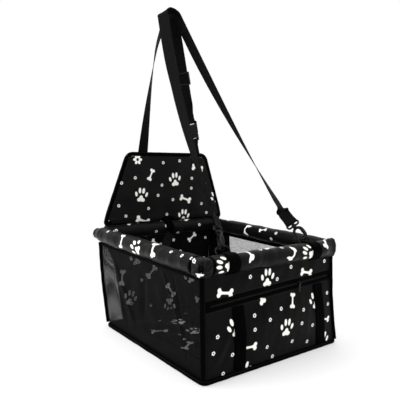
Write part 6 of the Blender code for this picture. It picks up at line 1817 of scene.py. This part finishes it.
CAMERA_PLACE = (-0.7651, -0.9144, 0.4511)
CAMERA_ANGLES = (-37.393, 5.585, 1.375)
LENS = 44.31


def link_posed(name, data, side, up, back, place):
    """A new camera or light that looks against back, with side to its right and up above it."""
    item = bpy.data.objects.new(name, data)
    bpy.context.scene.collection.objects.link(item)
    pose = Matrix.Identity(4)
    for row in range(3):
        pose[row][0], pose[row][1], pose[row][2], pose[row][3] = side[row], up[row], back[row], place[row]
    item.matrix_world = pose
    return item


def set_camera():
    """The photo's camera: its direction and roll as three axes, its lens on a 36 mm sensor."""
    azimuth, elevation, roll = (math.radians(angle) for angle in CAMERA_ANGLES)
    level = math.cos(elevation)
    back = np.array([math.sin(azimuth) * level, -math.cos(azimuth) * level, math.sin(elevation)])
    right = unit(np.cross(-back, UPRIGHT))
    up = np.cross(right, -back)
    turned_right = math.cos(roll) * right + math.sin(roll) * up
    turned_up = -math.sin(roll) * right + math.cos(roll) * up
    data = bpy.data.cameras.new("camera")
    data.lens = LENS
    data.sensor_width = 36
    data.clip_start = 0.05
    bpy.context.scene.camera = link_posed("camera", data, turned_right, turned_up, back, CAMERA_PLACE)


def area_light(name, place, target, size, power):
    """A white rectangular light at place that shines on target."""
    data = bpy.data.lights.new(name, "AREA")
    data.shape = "RECTANGLE"
    data.size, data.size_y = size
    data.energy = power
    back = unit(np.asarray(place, float) - np.asarray(target, float))
    side = unit(np.cross(UPRIGHT, back)) if abs(back[2]) < 0.99 else np.array([1.0, 0, 0])
    link_posed(name, data, side, np.cross(back, side), back, place)


def floor_material():
    """Near the seat the floor takes the light and the shadow; farther out the camera sees it plain white."""
    material, tree, shader = new_material("pale_floor")
    set_inputs(shader, Base_Color=(0.93, 0.93, 0.93, 1.0), Roughness=0.9, Specular_IOR_Level=0.0)
    place = node(tree, "ShaderNodeTexCoord")
    distance = node(tree, "ShaderNodeVectorMath", operation="LENGTH")
    tree.links.new(place.outputs["Object"], distance.inputs[0])
    path = node(tree, "ShaderNodeLightPath")
    far = ramp(tree, distance.outputs["Value"], 0.28, 0.70, 0.40, 1.0)
    white = node(tree, "ShaderNodeEmission")
    seen_white = maths(tree, "MULTIPLY", far, path.outputs["Is Camera Ray"])
    mix_shaders(tree, seen_white, shader.outputs[0], white.outputs[0], "Material Output")
    return material


def set_stage():
    """A pale floor, soft lights from the left, the front and above, and a surround that shows white."""
    bpy.ops.mesh.primitive_plane_add(size=8, location=(0, 0, -0.0004))
    floor = bpy.context.object
    floor.name = "floor"
    floor.data.materials.append(floor_material())
    scene = bpy.context.scene
    world = bpy.data.worlds.new("white_surround")
    scene.world = world
    world.use_nodes = True
    tree = world.node_tree
    background = tree.nodes["Background"]
    set_inputs(background, Color=(1, 1, 1, 1), Strength=0.74)
    bright = node(tree, "ShaderNodeBackground")
    set_inputs(bright, Color=(1, 1, 1, 1), Strength=1.0)
    path = node(tree, "ShaderNodeLightPath")
    mirrored = maths(tree, "MAXIMUM", path.outputs["Is Glossy Ray"], path.outputs["Is Transmission Ray"])
    seen_bright = maths(tree, "MAXIMUM", path.outputs["Is Camera Ray"], mirrored)
    mix_shaders(tree, seen_bright, background.outputs[0], bright.outputs[0], "World Output")
    area_light("left_light", (-1.6, 0.3, 1.1), (0, 0, 0.25), (1.2, 1.2), 24)
    area_light("front_light", (-0.6, -2.0, 1.2), (0, 0, 0.25), (1.4, 1.0), 14)
    area_light("top_light", (0.2, 0.1, 2.0), (0, 0.05, 0.2), (1.4, 1.4), 14)
    scene.view_settings.view_transform = "Standard"


set_camera()
set_stage()
